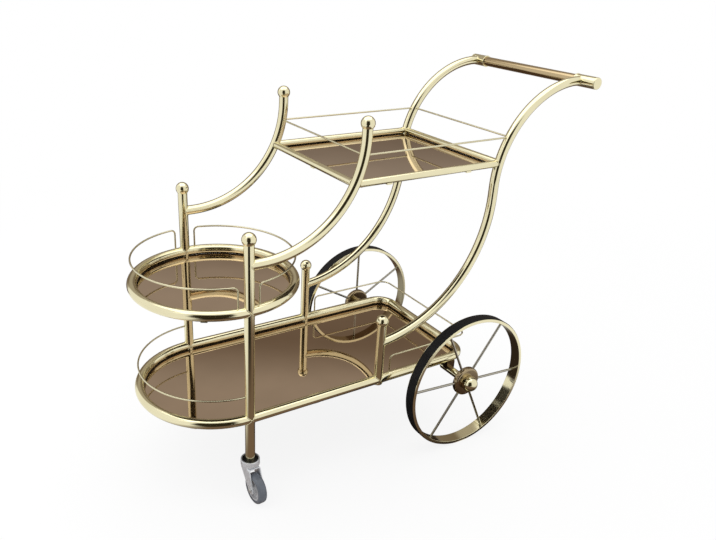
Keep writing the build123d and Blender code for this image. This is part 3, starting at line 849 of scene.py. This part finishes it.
def clear_pad(tree, shader, colours):
    """Soft clear pad under the glass."""
    tint = tinted(tree, grain(tree, scale=200, detail=2), colours.pad, shades=(0.92, 1.0))
    sheen = ranged(tree, grain(tree, scale=300, detail=2), NOISE_RANGE, (0.2, 0.35))
    tree.links.new(tint, shader["Base Color"])
    tree.links.new(sheen, shader["Roughness"])
    shader["Transmission Weight"].default_value = 0.7
    shader["IOR"].default_value = 1.45


# Paths of the frame

def spin_axis(joint_name):
    """Direction of a joint's axis."""
    return Vector(next(joint["axis"] for joint in frame["joints"] if joint["name"] == joint_name))


def at_side(side, x, z):
    """A point in the plane of one side's tubes."""
    return Vector((x, side * HALF_WIDTH, z))


def across_path(x, z):
    """Straight from the left side to the right one."""
    return [at_side(-1, x, z), at_side(1, x, z)]


def along_path(side, front_x, rear_x, z):
    """Straight along one side."""
    return [at_side(side, front_x, z), at_side(side, rear_x, z)]


def round_path(start_x, far_x, z, corner):
    """From the left side out to a far place, across, and back to the right side."""
    corners = (
        at_side(-1, start_x, z),
        at_side(-1, far_x, z),
        at_side(1, far_x, z),
        at_side(1, start_x, z),
    )
    return bent_path(corners, [corner, corner])


def half_circle_path(direction, z):
    """Half circle from the left post to the right one, forwards or backwards."""
    return round_path(FRONT_X, FRONT_X + direction * HALF_WIDTH, z, HALF_WIDTH)


def front_arm_path(side, tubes):
    """Out from the front post, then bending up to its ball."""
    low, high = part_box("left_front_arm")
    start_z = measured(low.z + tubes.tube)
    tip_x = measured(high.x - tubes.tube)
    corners = (
        at_side(side, FRONT_X, start_z),
        at_side(side, tip_x, start_z),
        at_side(side, tip_x, measured(high.z)),
    )
    return bent_path(corners, [tubes.front_bend])


def rear_arm_path(side, tubes):
    """An S from the rear post, up past the upper tray and back to the handle."""
    straight_x = HANDLE.x - tubes.handle_straight - tubes.upper_bend
    centre_x = straight_x - tubes.lower_bend
    turn = math.acos((REAR_POST_X - centre_x) / tubes.lower_bend)
    start_z = tubes.lower_bend_height - tubes.lower_bend * math.sin(turn)
    corner_z = tubes.lower_bend_height - tubes.lower_bend * math.tan(turn / 2)
    corners = (
        at_side(side, REAR_POST_X, start_z),
        at_side(side, straight_x, corner_z),
        at_side(side, straight_x, HANDLE.z),
        at_side(side, HANDLE.x, HANDLE.z),
    )
    return bent_path(corners, [tubes.lower_bend, tubes.upper_bend])


def round_wire_path(direction, tubes):
    """Half of the round tray's wire, with a leg bent down at each end."""
    foot = ROUND_Z + tubes.tube - tubes.wire
    top = measured(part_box("round_front_wire")[1].z - tubes.wire)
    leg_turn = math.asin(tubes.wire_leg_gap / HALF_WIDTH)
    first_turn = leg_turn + LEG_BEND_ROOM * tubes.wire_bend / HALF_WIDTH
    steps = math.ceil((math.pi - 2 * first_turn) / ARC_STEP)
    turns = [first_turn + (math.pi - 2 * first_turn) * step / steps for step in range(steps + 1)]

    def on_circle(turn, height):
        """A point of the wire's circle, turned from the left post."""
        x = FRONT_X + direction * HALF_WIDTH * math.sin(turn)
        return (x, -HALF_WIDTH * math.cos(turn), height)

    last_turn = math.pi - leg_turn
    corners = [on_circle(leg_turn, foot), on_circle(leg_turn, top)]
    corners += [on_circle(turn, top) for turn in turns]
    corners += [on_circle(last_turn, top), on_circle(last_turn, foot)]
    radii = [tubes.wire_bend] + [0] * len(turns) + [tubes.wire_bend]
    return bent_path(corners, radii)


def lower_rear_wire_path(tubes):
    """The wire round the back of the lower tray, with its ends bent down to the rim."""
    low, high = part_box("lower_rear_wire")
    foot = LOWER_Z + tubes.tube - tubes.wire
    top = measured(high.z - tubes.wire)
    start_x = measured(low.x + tubes.wire)
    rear_x = measured(high.x - tubes.wire)
    corners = (
        at_side(-1, start_x, foot),
        at_side(-1, start_x, top),
        at_side(-1, rear_x, top),
        at_side(1, rear_x, top),
        at_side(1, start_x, top),
        at_side(1, start_x, foot),
    )
    return bent_path(corners, [tubes.wire_bend, tubes.wire_corner, tubes.wire_corner, tubes.wire_bend])


# Operators

class CART_OT_posts(bpy.types.Operator):
    """Front and rear posts with the balls that close them and the front arms"""

    bl_idname = "cart.posts"
    bl_label = "Posts and balls"

    def execute(self, context):
        tubes = context.scene.cart_tubes
        tips = []
        for name, side in SIDES.items():
            for end, x in (("front", FRONT_X), ("rear", REAR_POST_X)):
                node = f"{name}_{end}_post"
                low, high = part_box(node)
                path = [at_side(side, x, low.z), at_side(side, x, high.z)]
                add_tube(node, path, tubes.tube)
                tips.append(path[-1])
            tips.append(front_arm_path(side, tubes)[-1])
        self.add_balls(tips, tubes)
        return {"FINISHED"}

    def add_balls(self, tips, tubes):
        """A ball on every tip, with a flat that meets the tube."""
        radius = measured(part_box("ball_finials")[1].y - HALF_WIDTH, STOCK_STEP)
        centre = math.sqrt(radius**2 - tubes.tube**2)
        gold = finish(polished_gold)
        balls = repeated(turned(ball_profile(radius, 0, centre)), tips, gold)
        add_piece("ball_finials", balls, FRAME_BODY, "gold", gold)


class CART_OT_arms(bpy.types.Operator):
    """Curved front arms and S-shaped rear arms"""

    bl_idname = "cart.arms"
    bl_label = "Arms"

    def execute(self, context):
        tubes = context.scene.cart_tubes
        for name, side in SIDES.items():
            add_tube(f"{name}_front_arm", front_arm_path(side, tubes), tubes.tube)
            add_tube(f"{name}_rear_arm", rear_arm_path(side, tubes), tubes.tube)
        return {"FINISHED"}


class CART_OT_rims(bpy.types.Operator):
    """Tray rims and rails"""

    bl_idname = "cart.rims"
    bl_label = "Rims and rails"

    def execute(self, context):
        tubes = context.scene.cart_tubes
        rear_x = measured(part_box("lower_rear_rim")[1].x - tubes.tube)
        thick = {
            "lower_front_rim": half_circle_path(-1, LOWER_Z),
            "round_front_rim": half_circle_path(-1, ROUND_Z),
            "round_rear_rim": half_circle_path(1, ROUND_Z),
            "lower_rear_rim": round_path(REAR_POST_X, rear_x, LOWER_Z, tubes.rim_corner),
        }
        thin = {
            "upper_front_rail": across_path(UPPER_FRONT_X, UPPER_Z),
            "upper_rear_rail": across_path(UPPER_REAR_X, UPPER_Z),
        }
        for name, side in SIDES.items():
            thick[f"lower_{name}_rail"] = along_path(side, FRONT_X, REAR_POST_X, LOWER_Z)
            thin[f"upper_{name}_rail"] = along_path(side, UPPER_FRONT_X, UPPER_REAR_X, UPPER_Z)
        for paths, radius in ((thick, tubes.tube), (thin, tubes.rail)):
            for node, path in paths.items():
                add_tube(node, path, radius)
        return {"FINISHED"}


class CART_OT_wires(bpy.types.Operator):
    """Gallery wires above the trays"""

    bl_idname = "cart.wires"
    bl_label = "Gallery wires"

    def execute(self, context):
        tubes = context.scene.cart_tubes
        wires = {
            "lower_front_wire": half_circle_path(-1, LOWER_FRONT_WIRE_Z),
            "lower_rear_wire": lower_rear_wire_path(tubes),
            "round_front_wire": round_wire_path(-1, tubes),
            "round_rear_wire": round_wire_path(1, tubes),
            "upper_front_wire": across_path(UPPER_WIRE_FRONT_X, UPPER_WIRE_Z),
            "upper_rear_wire": across_path(UPPER_WIRE_REAR_X, UPPER_WIRE_Z),
        }
        for name, side in SIDES.items():
            path = along_path(side, UPPER_WIRE_FRONT_X, UPPER_WIRE_REAR_X, UPPER_WIRE_Z)
            wires[f"upper_{name}_wire"] = path
        for node, path in wires.items():
            add_stock(node, path, tubes.wire, tubes.wire_sides, "gold_wire", finish(drawn_gold_wire))
        return {"FINISHED"}


class CART_OT_beads(bpy.types.Operator):
    """Braze beads round the joints of the frame"""

    bl_idname = "cart.beads"
    bl_label = "Braze beads"

    def execute(self, context):
        tubes = context.scene.cart_tubes
        gold = finish(polished_gold)
        meshes = [self.bead(tubes, gold, *joint) for joint in self.joints(tubes)]
        add_extra("braze_beads", joined(meshes), FRAME_BODY, "gold", gold)
        return {"FINISHED"}

    def bead(self, tubes, gold, branch, main, spot, outward, main_axis):
        """One bead where a branch tube leaves a main tube."""
        size = tubes.wire_bead if branch == tubes.wire else tubes.bead
        lean = outward.angle(main_axis) - math.pi / 2
        sizes = {"Main": main, "Branch": branch, "Bead": size, "Lean": lean}
        mesh = tree_mesh(bead_tree, point_mesh([]), Material=gold, **sizes)
        return placed(mesh, frame_at(spot, outward, main_axis - outward * main_axis.dot(outward)))

    def joints(self, tubes):
        """Branch radius, main radius, crossing of the axes, branch direction and main direction."""
        thick = tubes.tube
        wire = tubes.wire
        sleeve = bpy.context.scene.cart_handle.sleeve
        found = []
        for side in SIDES.values():
            front_arm = front_arm_path(side, tubes)
            rear_arm = rear_arm_path(side, tubes)
            for x, z, direction in (
                (FRONT_X, front_arm[0].z, BACKWARDS),
                (FRONT_X, LOWER_Z, -BACKWARDS),
                (FRONT_X, LOWER_Z, BACKWARDS),
                (FRONT_X, ROUND_Z, -BACKWARDS),
                (FRONT_X, ROUND_Z, BACKWARDS),
                (REAR_POST_X, LOWER_Z, -BACKWARDS),
                (REAR_POST_X, LOWER_Z, BACKWARDS),
                (REAR_POST_X, rear_arm[0].z, (rear_arm[1] - rear_arm[0]).normalized()),
            ):
                found.append((thick, thick, at_side(side, x, z), direction, UP))
            found.append((thick, sleeve, rear_arm[-1], -BACKWARDS, ACROSS))
            found.append((wire, thick, at_side(side, FRONT_X, LOWER_FRONT_WIRE_Z), -BACKWARDS, UP))
            for radius, x, z, arm, direction in (
                (tubes.rail, UPPER_FRONT_X, UPPER_Z, front_arm, BACKWARDS),
                (tubes.rail, UPPER_REAR_X, UPPER_Z, rear_arm, -BACKWARDS),
                (wire, UPPER_WIRE_FRONT_X, UPPER_WIRE_Z, front_arm, BACKWARDS),
                (wire, UPPER_WIRE_REAR_X, UPPER_WIRE_Z, rear_arm, -BACKWARDS),
            ):
                spot = at_side(side, x, z)
                axis = self.direction_at(arm, spot)
                found.append((radius, thick, spot, direction, axis))
                found.append((radius, thick, spot, ACROSS * -side, axis))
        for path, z in (
            (round_wire_path(-1, tubes), ROUND_Z),
            (round_wire_path(1, tubes), ROUND_Z),
            (lower_rear_wire_path(tubes), LOWER_Z),
        ):
            for leg in (path[0], path[-1]):
                radial = Vector((leg.x - FRONT_X, leg.y, 0))
                axis = BACKWARDS if z == LOWER_Z else UP.cross(radial).normalized()
                found.append((wire, thick, Vector((leg.x, leg.y, z)), UP, axis))
        return found

    def direction_at(self, path, spot):
        """Direction of a path where it passes nearest to a point."""
        nearest = min(range(1, len(path) - 1), key=lambda index: (path[index] - spot).length)
        return (path[nearest + 1] - path[nearest - 1]).normalized()


class CART_OT_glass(bpy.types.Operator):
    """Bronze mirror shelves with their tabs and clear pads"""

    bl_idname = "cart.glass"
    bl_label = "Glass shelves"

    def execute(self, context):
        trays = context.scene.cart_trays
        for tray in ("round", "lower", "upper"):
            self.add_sheet(f"{tray}_glass", trays)
            tabs = f"{tray}_glass_tabs"
            add_piece(tabs, softened(tabs, trays.tab_edge), FRAME_BODY, "gold", finish(polished_gold))
        pads = softened("glass_pads", trays.pad_edge)
        add_piece("glass_pads", pads, FRAME_BODY, "clear_pad", finish(clear_pad))
        return {"FINISHED"}

    def add_sheet(self, node, trays):
        """One sheet, silvered on top, ground round its lower border and edge, and painted underneath.

        Its edge is drawn out to the rim, so that no light shows between them. Its dark ground border is
        partly painted shade for the crevice where it meets the rim.
        """
        finishes = [finish(build) for build in (bronze_mirror, ground_edge_and_crevice_shade, mirror_backing)]
        piece = add_piece(node, softened(node, trays.arris), FRAME_BODY, "bronze_mirror", *finishes)
        silvered_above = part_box(node)[1].z - trays.border_step / 2
        for vertex in piece.data.vertices:
            if vertex.co.z < silvered_above and abs(vertex.normal.z) < LEVEL:
                vertex.co += vertex.normal.to_2d().normalized().to_3d() * trays.border_reach
        # Top faces get the silvering, the underside the paint, and the border and edge the dark finish
        # that is partly painted shade for the crevice under the rim
        for face in piece.data.polygons:
            if face.normal.z > LEVEL and face.center.z > silvered_above:
                face.material_index = 0
            elif face.normal.z < -LEVEL:
                face.material_index = 2
            else:
                face.material_index = 1


class CART_OT_handle(bpy.types.Operator):
    """Push handle with collared sleeves and end caps"""

    bl_idname = "cart.handle"
    bl_label = "Handle"

    def execute(self, context):
        sizes = context.scene.cart_handle
        sides = context.scene.cart_tubes.tube_sides
        gold = finish(polished_gold)
        path = [Vector((HANDLE.x, corner.y, HANDLE.z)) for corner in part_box("handle_grip")]
        add_stock("handle_grip", path, sizes.grip, sides, "satin_bronze", finish(satin_bronze))
        cap_low, cap_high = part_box("handle_end_caps")
        cap_ends = {"left": -cap_low.y, "right": cap_high.y}
        caps = []
        for name, side in SIDES.items():
            outwards = frame_at(Vector((HANDLE.x, 0, HANDLE.z)), ACROSS * side, UP)
            node = f"{name}_handle_sleeve"
            start, end = sorted(abs(corner.y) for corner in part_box(node))
            shoulder = start + sizes.collar_length
            corners = (
                (sizes.grip, start),
                (sizes.collar, start),
                (sizes.collar, shoulder),
                (sizes.sleeve, shoulder),
                (sizes.sleeve, end),
                (sizes.grip, end),
            )
            sleeve = turned_piece(evenly_rounded(corners, sizes.edge), outwards)
            add_piece(node, sleeve, FRAME_BODY, "gold", gold)
            cap = (
                (0, end, 0),
                (sizes.sleeve, end, sizes.cap_seat),
                (sizes.sleeve, cap_ends[name], sizes.cap_edge),
                (0, cap_ends[name], 0),
            )
            caps.append(turned_piece(cap, outwards, closed=False))
        add_piece("handle_end_caps", joined(caps), FRAME_BODY, "gold", gold)
        return {"FINISHED"}


class CART_OT_axle(bpy.types.Operator):
    """Axle with its saddles, sleeves and ball nuts"""

    bl_idname = "cart.axle"
    bl_label = "Axle"

    def execute(self, context):
        wheels = context.scene.cart_wheels
        gold = finish(polished_gold)
        radius = stock_radius("axle", "z")
        path = [Vector((AXLE.x, corner.y, AXLE.z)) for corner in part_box("axle")]
        add_stock("axle", path, radius, SMALL_TURN_SIDES, "steel", finish(bright_steel))
        saddles = softened("axle_brackets", wheels.saddle_edge)
        add_piece("axle_brackets", saddles, FRAME_BODY, "dark_bronze", finish(dark_bronze))
        sleeve_radius = extent("axle_sleeves").z / 2
        sleeve_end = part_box("axle_sleeves")[1].y
        corners = (
            (radius, wheels.sleeve_start),
            (sleeve_radius, wheels.sleeve_start),
            (sleeve_radius, sleeve_end),
            (radius, sleeve_end),
        )
        ball = extent("axle_ball_nuts").z / 2
        ball_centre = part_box("axle_ball_nuts")[1].y - ball
        nut = ball_profile(ball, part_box("right_hub")[1].y, ball_centre)
        sleeves = []
        nuts = []
        for side in SIDES.values():
            outwards = frame_at(Vector((AXLE.x, 0, AXLE.z)), ACROSS * side, UP)
            sleeves.append(turned_piece(evenly_rounded(corners, wheels.sleeve_edge), outwards))
            nuts.append(placed(turned(nut), outwards))
        add_piece("axle_sleeves", joined(sleeves), FRAME_BODY, "gold", gold)
        add_piece("axle_ball_nuts", joined(nuts), FRAME_BODY, "gold", gold)
        return {"FINISHED"}


class CART_OT_wheels(bpy.types.Operator):
    """Spoked rear wheels with channel rims, solid tyres and turned hubs"""

    bl_idname = "cart.wheels"
    bl_label = "Rear wheels"

    def execute(self, context):
        wheels = context.scene.cart_wheels
        for name, side in SIDES.items():
            where = frame_at(middle(f"{name}_tyre"), ACROSS * side, UP * -side)
            base = wheels.rim_inner + wheels.rim_base
            rim = self.rim_profile(extent(f"{name}_wheel_rim"), base, wheels)
            self.add_turned(name, "wheel_rim", rim, where, "gold", polished_gold)
            tyre = extent(f"{name}_tyre")
            tread = ((base, tyre.y / 2, 0), (tyre.x / 2, tyre.y / 2, wheels.tread_round))
            self.add_turned(name, "tyre", tread, where, "tyre_rubber", tyre_rubber)
            self.add_spokes(name, side, where, wheels)
            hub = self.hub_profile(extent(f"{name}_hub"), wheels)
            self.add_turned(name, "hub", hub, where, "dark_bronze", turned_bronze)
        return {"FINISHED"}

    def add_turned(self, name, piece, half, where, slot, build):
        """A piece of a wheel that is turned round the axle and alike on both faces."""
        mesh = turned_piece(both_faces(half), where, sides=LARGE_TURN_SIDES)
        add_piece(f"{name}_{piece}", mesh, f"{name}_wheel", slot, finish(build))

    def rim_profile(self, size, base, wheels):
        """One half of a channel that is open outwards."""
        half = size.y / 2
        top = size.x / 2
        flange = half - wheels.flange
        corners = ((base, flange), (top, flange), (top, half), (wheels.rim_inner, half))
        return evenly_rounded(corners, wheels.rim_edge)

    def hub_profile(self, size, wheels):
        """One half of a disc with rounded edges and a boss, bored for the axle."""
        face = size.y / 2
        disc = wheels.hub_disc / 2
        return (
            (wheels.hub_bore, face, 0),
            (wheels.boss, face, wheels.boss_edge),
            (wheels.boss, disc, wheels.boss_edge),
            (size.z / 2, disc, wheels.hub_round),
        )

    def add_spokes(self, name, side, where, wheels):
        """Spokes from inside the hub to the rim."""
        phases = {"left": wheels.left_phase, "right": wheels.right_phase}
        plated_rod = finish(drawn_spoke)
        spokes = tree_mesh(
            spoke_tree,
            point_mesh([]),
            Count=wheels.spokes,
            Inner=wheels.spoke_root,
            Outer=wheels.rim_inner,
            Radius=wheels.spoke,
            Phase=-side * phases[name],
            Material=plated_rod,
        )
        add_piece(f"{name}_spokes", placed(spokes, where), f"{name}_wheel", "gold_wire", plated_rod)


class CART_OT_casters(bpy.types.Operator):
    """Swivel casters: cups, bushes, bent-sheet forks, bolts, wheels and treads"""

    bl_idname = "cart.casters"
    bl_label = "Casters"

    def execute(self, context):
        casters = context.scene.cart_casters
        zinc = finish(bright_zinc)
        cups = []
        bushes = []
        for name, side in SIDES.items():
            post = Matrix.Translation(at_side(side, FRONT_X, 0))
            cups.append(turned_piece(self.cup_profile(casters), post, closed=False))
            bushes.append(turned_piece(self.bush_profile(casters), post))
            fork = f"{name}_caster_fork"
            add_piece(fork, softened(fork, casters.fork_edge), f"{name}_swivel", "zinc", zinc)
            bolt = f"{name}_caster_bolt"
            steel = finish(bright_steel)
            add_piece(bolt, softened(bolt, casters.fork_edge), f"{name}_swivel", "steel", steel)
            self.add_wheel(name, casters)
        add_piece("caster_cups", joined(cups), FRAME_BODY, "zinc", zinc)
        # The black of the bushes is partly painted shade for the recess round each post's foot
        add_piece("stem_bushes", joined(bushes), FRAME_BODY, "black_plastic", finish(black_plastic))
        return {"FINISHED"}

    def cup_profile(self, casters):
        """A cup round the foot of a post: a bore for the pin, a recess and a stem inside the tube."""
        low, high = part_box("caster_cups")
        radius = high.y - HALF_WIDTH
        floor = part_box("left_front_post")[0].z
        top = floor + casters.recess
        return (
            (0, casters.pin_top, 0),
            (casters.pin_bore, casters.pin_top, 0),
            (casters.pin_bore, low.z, 0),
            (radius, low.z, casters.cup_base),
            (radius, top, casters.cup_edge),
            (radius - casters.cup_wall, top, casters.recess_edge),
            (radius - casters.cup_wall, floor, casters.recess_edge),
            (casters.stem, floor, casters.recess_edge),
            (casters.stem, high.z, casters.cup_edge),
            (0, high.z, 0),
        )

    def bush_profile(self, casters):
        """A bush that fills a cup's recess round the post."""
        low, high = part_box("stem_bushes")
        outer = high.y - HALF_WIDTH
        inner = bpy.context.scene.cart_tubes.tube
        return (
            (inner, low.z, 0),
            (outer, low.z, 0),
            (outer, high.z, casters.bush_edge),
            (inner, high.z, casters.bush_edge),
        )

    def add_wheel(self, name, casters):
        """Moulded core with hub, web and rim, and the rubber tread round it."""
        where = frame_at(middle(f"{name}_caster_tread"), spin_axis(f"{name}_caster_spin"), UP)
        face = casters.hub_width / 2
        web = casters.web / 2
        half = casters.width / 2
        side = half - casters.core_inset
        inner = casters.core - casters.core_wall
        outer = extent(f"{name}_caster_tread").z / 2
        corners = (
            (casters.bore, face),
            (casters.hub, face),
            (casters.hub, web),
            (inner, web),
            (inner, side),
            (casters.core, side),
        )
        core = evenly_rounded(corners, casters.core_edge)
        tread = ((casters.core, half, 0), (outer, half, casters.tread_round))
        for piece, profile, slot, build in (
            ("caster_wheel", core, "caster_core", caster_plastic),
            ("caster_tread", tread, "grey_rubber", grey_rubber),
        ):
            mesh = turned_piece(both_faces(profile), where)
            add_piece(f"{name}_{piece}", mesh, f"{name}_roller", slot, finish(build))


class CART_OT_stage(bpy.types.Operator):
    """Floor, surrounding light, lamps, reflection cards and camera"""

    bl_idname = "cart.stage"
    bl_label = "Stage"

    def execute(self, context):
        stage = context.scene.cart_stage
        context.scene.view_settings.view_transform = "Standard"
        context.scene.world = self.new_world(stage)
        self.add_floor(stage)
        self.add_cards(stage)
        self.add_lamps(stage)
        context.scene.camera = self.new_camera(stage)
        return {"FINISHED"}

    def shows_background(self, tree):
        """One for camera, mirrored and clear rays, and nothing for the others."""
        ray = add_node(tree, "ShaderNodeLightPath").outputs
        seen = math_node(tree, "MAXIMUM", ray["Is Camera Ray"], ray["Is Glossy Ray"])
        return math_node(tree, "MAXIMUM", seen, ray["Is Transmission Ray"])

    def new_world(self, stage):
        """White surroundings that light the cart softly."""
        world = bpy.data.worlds.new("white_surroundings")
        world.use_nodes = True
        tree = world.node_tree
        background = tree.nodes["Background"].inputs
        background["Color"].default_value = (1, 1, 1, 1)
        strength = ranged(tree, self.shows_background(tree), (0, 1), (stage.ambient, 1))
        tree.links.new(strength, background["Strength"])
        return world

    def sheet(self, name, corners, make_mix):
        """A flat four-cornered sheet of the stage, with a map that runs from -1 to 1 both ways.

        Its material mixes two shaders, which a function makes, with the share of the second one.
        """
        material = bpy.data.materials.new(name)
        material.use_nodes = True
        tree = material.node_tree
        tree.nodes.remove(tree.nodes["Principled BSDF"])
        share, first, second = make_mix(tree)
        mixed = result(tree, "ShaderNodeMixShader", {0: share, 1: first, 2: second})
        tree.links.new(mixed, tree.nodes["Material Output"].inputs["Surface"])
        mesh = bpy.data.meshes.new(name)
        mesh.from_pydata(corners, [], [(0, 1, 2, 3)])
        mesh.materials.append(material)
        spread = mesh.uv_layers.new(name="spread")
        for item, spot in zip(spread.data, ((-1, -1), (1, -1), (1, 1), (-1, 1))):
            item.uv = spot
        made = add_object(name, mesh)
        return made

    def glow(self, tree, shade):
        """Plain light of a colour."""
        return result(tree, "ShaderNodeEmission", {"Color": [*shade, 1], "Strength": 1.0})

    def add_floor(self, stage):
        """A wide pale floor that keeps the cart's shadow and turns plain white far away."""

        def paint_and_white(tree):
            """Paint, and a share of white that grows with the distance."""
            spot = add_node(tree, "ShaderNodeTexCoord").outputs["Object"]
            distance = add_node(tree, "ShaderNodeVectorMath", {0: spot}, operation="LENGTH")
            span = (stage.glow_start, stage.glow_end)
            rising = ranged(tree, distance.outputs["Value"], span, (stage.floor_glow, 1), "SMOOTHSTEP")
            share = math_node(tree, "MULTIPLY", self.shows_background(tree), rising)
            paint = result(tree, "ShaderNodeBsdfDiffuse", {"Color": [*stage.floor, 1]})
            return share, paint, self.glow(tree, (1, 1, 1))

        far = stage.floor_reach
        corners = ((-far, -far, 0), (far, -far, 0), (far, far, 0), (-far, far, 0))
        self.sheet("floor", corners, paint_and_white)

    def add_card(self, name, corners, shade, fade):
        """A sheet that is seen only in reflections and fades out towards its edges."""

        def clear_and_glow(tree):
            """Nothing at the edges, and a glow in the middle."""
            spot = result(tree, "ShaderNodeUVMap", uv_map="spread")
            parts = add_node(tree, "ShaderNodeSeparateXYZ", {"Vector": spot}).outputs
            across = math_node(tree, "ABSOLUTE", parts["X"])
            along = math_node(tree, "ABSOLUTE", parts["Y"])
            from_middle = math_node(tree, "MAXIMUM", across, along)
            share = ranged(tree, from_middle, (1 - fade, 1), (1, 0), "SMOOTHSTEP")
            return share, result(tree, "ShaderNodeBsdfTransparent"), self.glow(tree, shade)

        made = self.sheet(name, corners, clear_and_glow)
        made.visible_camera = False
        made.visible_diffuse = False
        made.visible_transmission = False
        made.visible_shadow = False

    def add_cards(self, stage):
        """What the metal reflects: dim floor, painted shadow of the cart on the floor, dim walls before
        and behind the cart, and a white panel.
        """
        towards = (Vector(stage.eye) - Vector(stage.target)).to_2d().normalized().to_3d()
        rightwards = UP.cross(towards)

        def spot(forward, right, height):
            """A point of the stage, forwards to the camera, to the right of the picture and up."""
            return towards * forward + rightwards * right + UP * height

        for name, shade, fade, height, back, front in FLOOR_CARDS:
            corners = (
                spot(back[0], back[1], height),
                spot(front[0], front[1], height),
                spot(front[0], front[2], height),
                spot(back[0], back[2], height),
            )
            self.add_card(name, corners, getattr(stage, shade), fade)
        for name, shade, fade, left, right, low, high in WALL_CARDS:
            corners = (spot(*left, low), spot(*right, low), spot(*right, high), spot(*left, high))
            self.add_card(name, corners, getattr(stage, shade), fade)

    def add_lamps(self, stage):
        """Two soft boxes: a main one at the left and a weaker, larger one above."""
        for name, spot, width, share in LAMPS:
            lamp = bpy.data.lights.new(name, "AREA")
            lamp.shape = "SQUARE"
            lamp.size = width
            lamp.energy = stage.lamp_power * share * width**2
            made = add_object(name, lamp)
            aim = (Vector(stage.target) - Vector(spot)).to_track_quat("-Z", "Y")
            made.matrix_world = Matrix.Translation(spot) @ aim.to_matrix().to_4x4()
            made.visible_camera = False

    def new_camera(self, stage):
        """A camera at the photograph's viewing angle."""
        camera = bpy.data.cameras.new("camera")
        camera.sensor_width = SENSOR_WIDTH
        camera.lens = stage.lens
        camera.shift_x = stage.shift_x
        camera.shift_y = stage.shift_y
        eye = Vector(stage.eye)
        aimed = frame_at(eye, eye - Vector(stage.target), UP)
        made = add_object("camera", camera)
        made.matrix_world = aimed @ Matrix.Rotation(stage.roll, 4, "Z")
        return made


class CART_PT_sidebar(bpy.types.Panel):
    """Sidebar panel that lists the cart's steps and sizes"""

    bl_idname = "CART_PT_sidebar"
    bl_label = "Bar cart"
    bl_space_type = "VIEW_3D"
    bl_region_type = "UI"
    bl_category = "Bar cart"

    def draw(self, context):
        for operator in OPERATORS:
            self.layout.operator(operator.bl_idname)
        for name, group in GROUPS.items():
            sizes = self.layout.box()
            sizes.label(text=group.__doc__)
            for key in group.__annotations__:
                sizes.prop(getattr(context.scene, name), key)


OPERATORS = (
    CART_OT_posts,
    CART_OT_arms,
    CART_OT_rims,
    CART_OT_wires,
    CART_OT_beads,
    CART_OT_glass,
    CART_OT_handle,
    CART_OT_axle,
    CART_OT_wheels,
    CART_OT_casters,
    CART_OT_stage,
)


def register():
    """Adds the sizes, operators and panel to Blender."""
    for name, group in GROUPS.items():
        bpy.utils.register_class(group)
        setattr(bpy.types.Scene, name, PointerProperty(type=group))
    for operator in OPERATORS:
        bpy.utils.register_class(operator)
    bpy.utils.register_class(CART_PT_sidebar)


def unregister():
    """Takes them away again."""
    bpy.utils.unregister_class(CART_PT_sidebar)
    for operator in reversed(OPERATORS):
        bpy.utils.unregister_class(operator)
    for name, group in reversed(GROUPS.items()):
        delattr(bpy.types.Scene, name)
        bpy.utils.unregister_class(group)


def main():
    """Builds every piece and the stage."""
    register()
    bpy.ops.cart.posts()
    bpy.ops.cart.arms()
    bpy.ops.cart.rims()
    bpy.ops.cart.wires()
    bpy.ops.cart.beads()
    bpy.ops.cart.glass()
    bpy.ops.cart.handle()
    bpy.ops.cart.axle()
    bpy.ops.cart.wheels()
    bpy.ops.cart.casters()
    bpy.ops.cart.stage()
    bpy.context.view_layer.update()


if __name__ == "__main__":
    main()
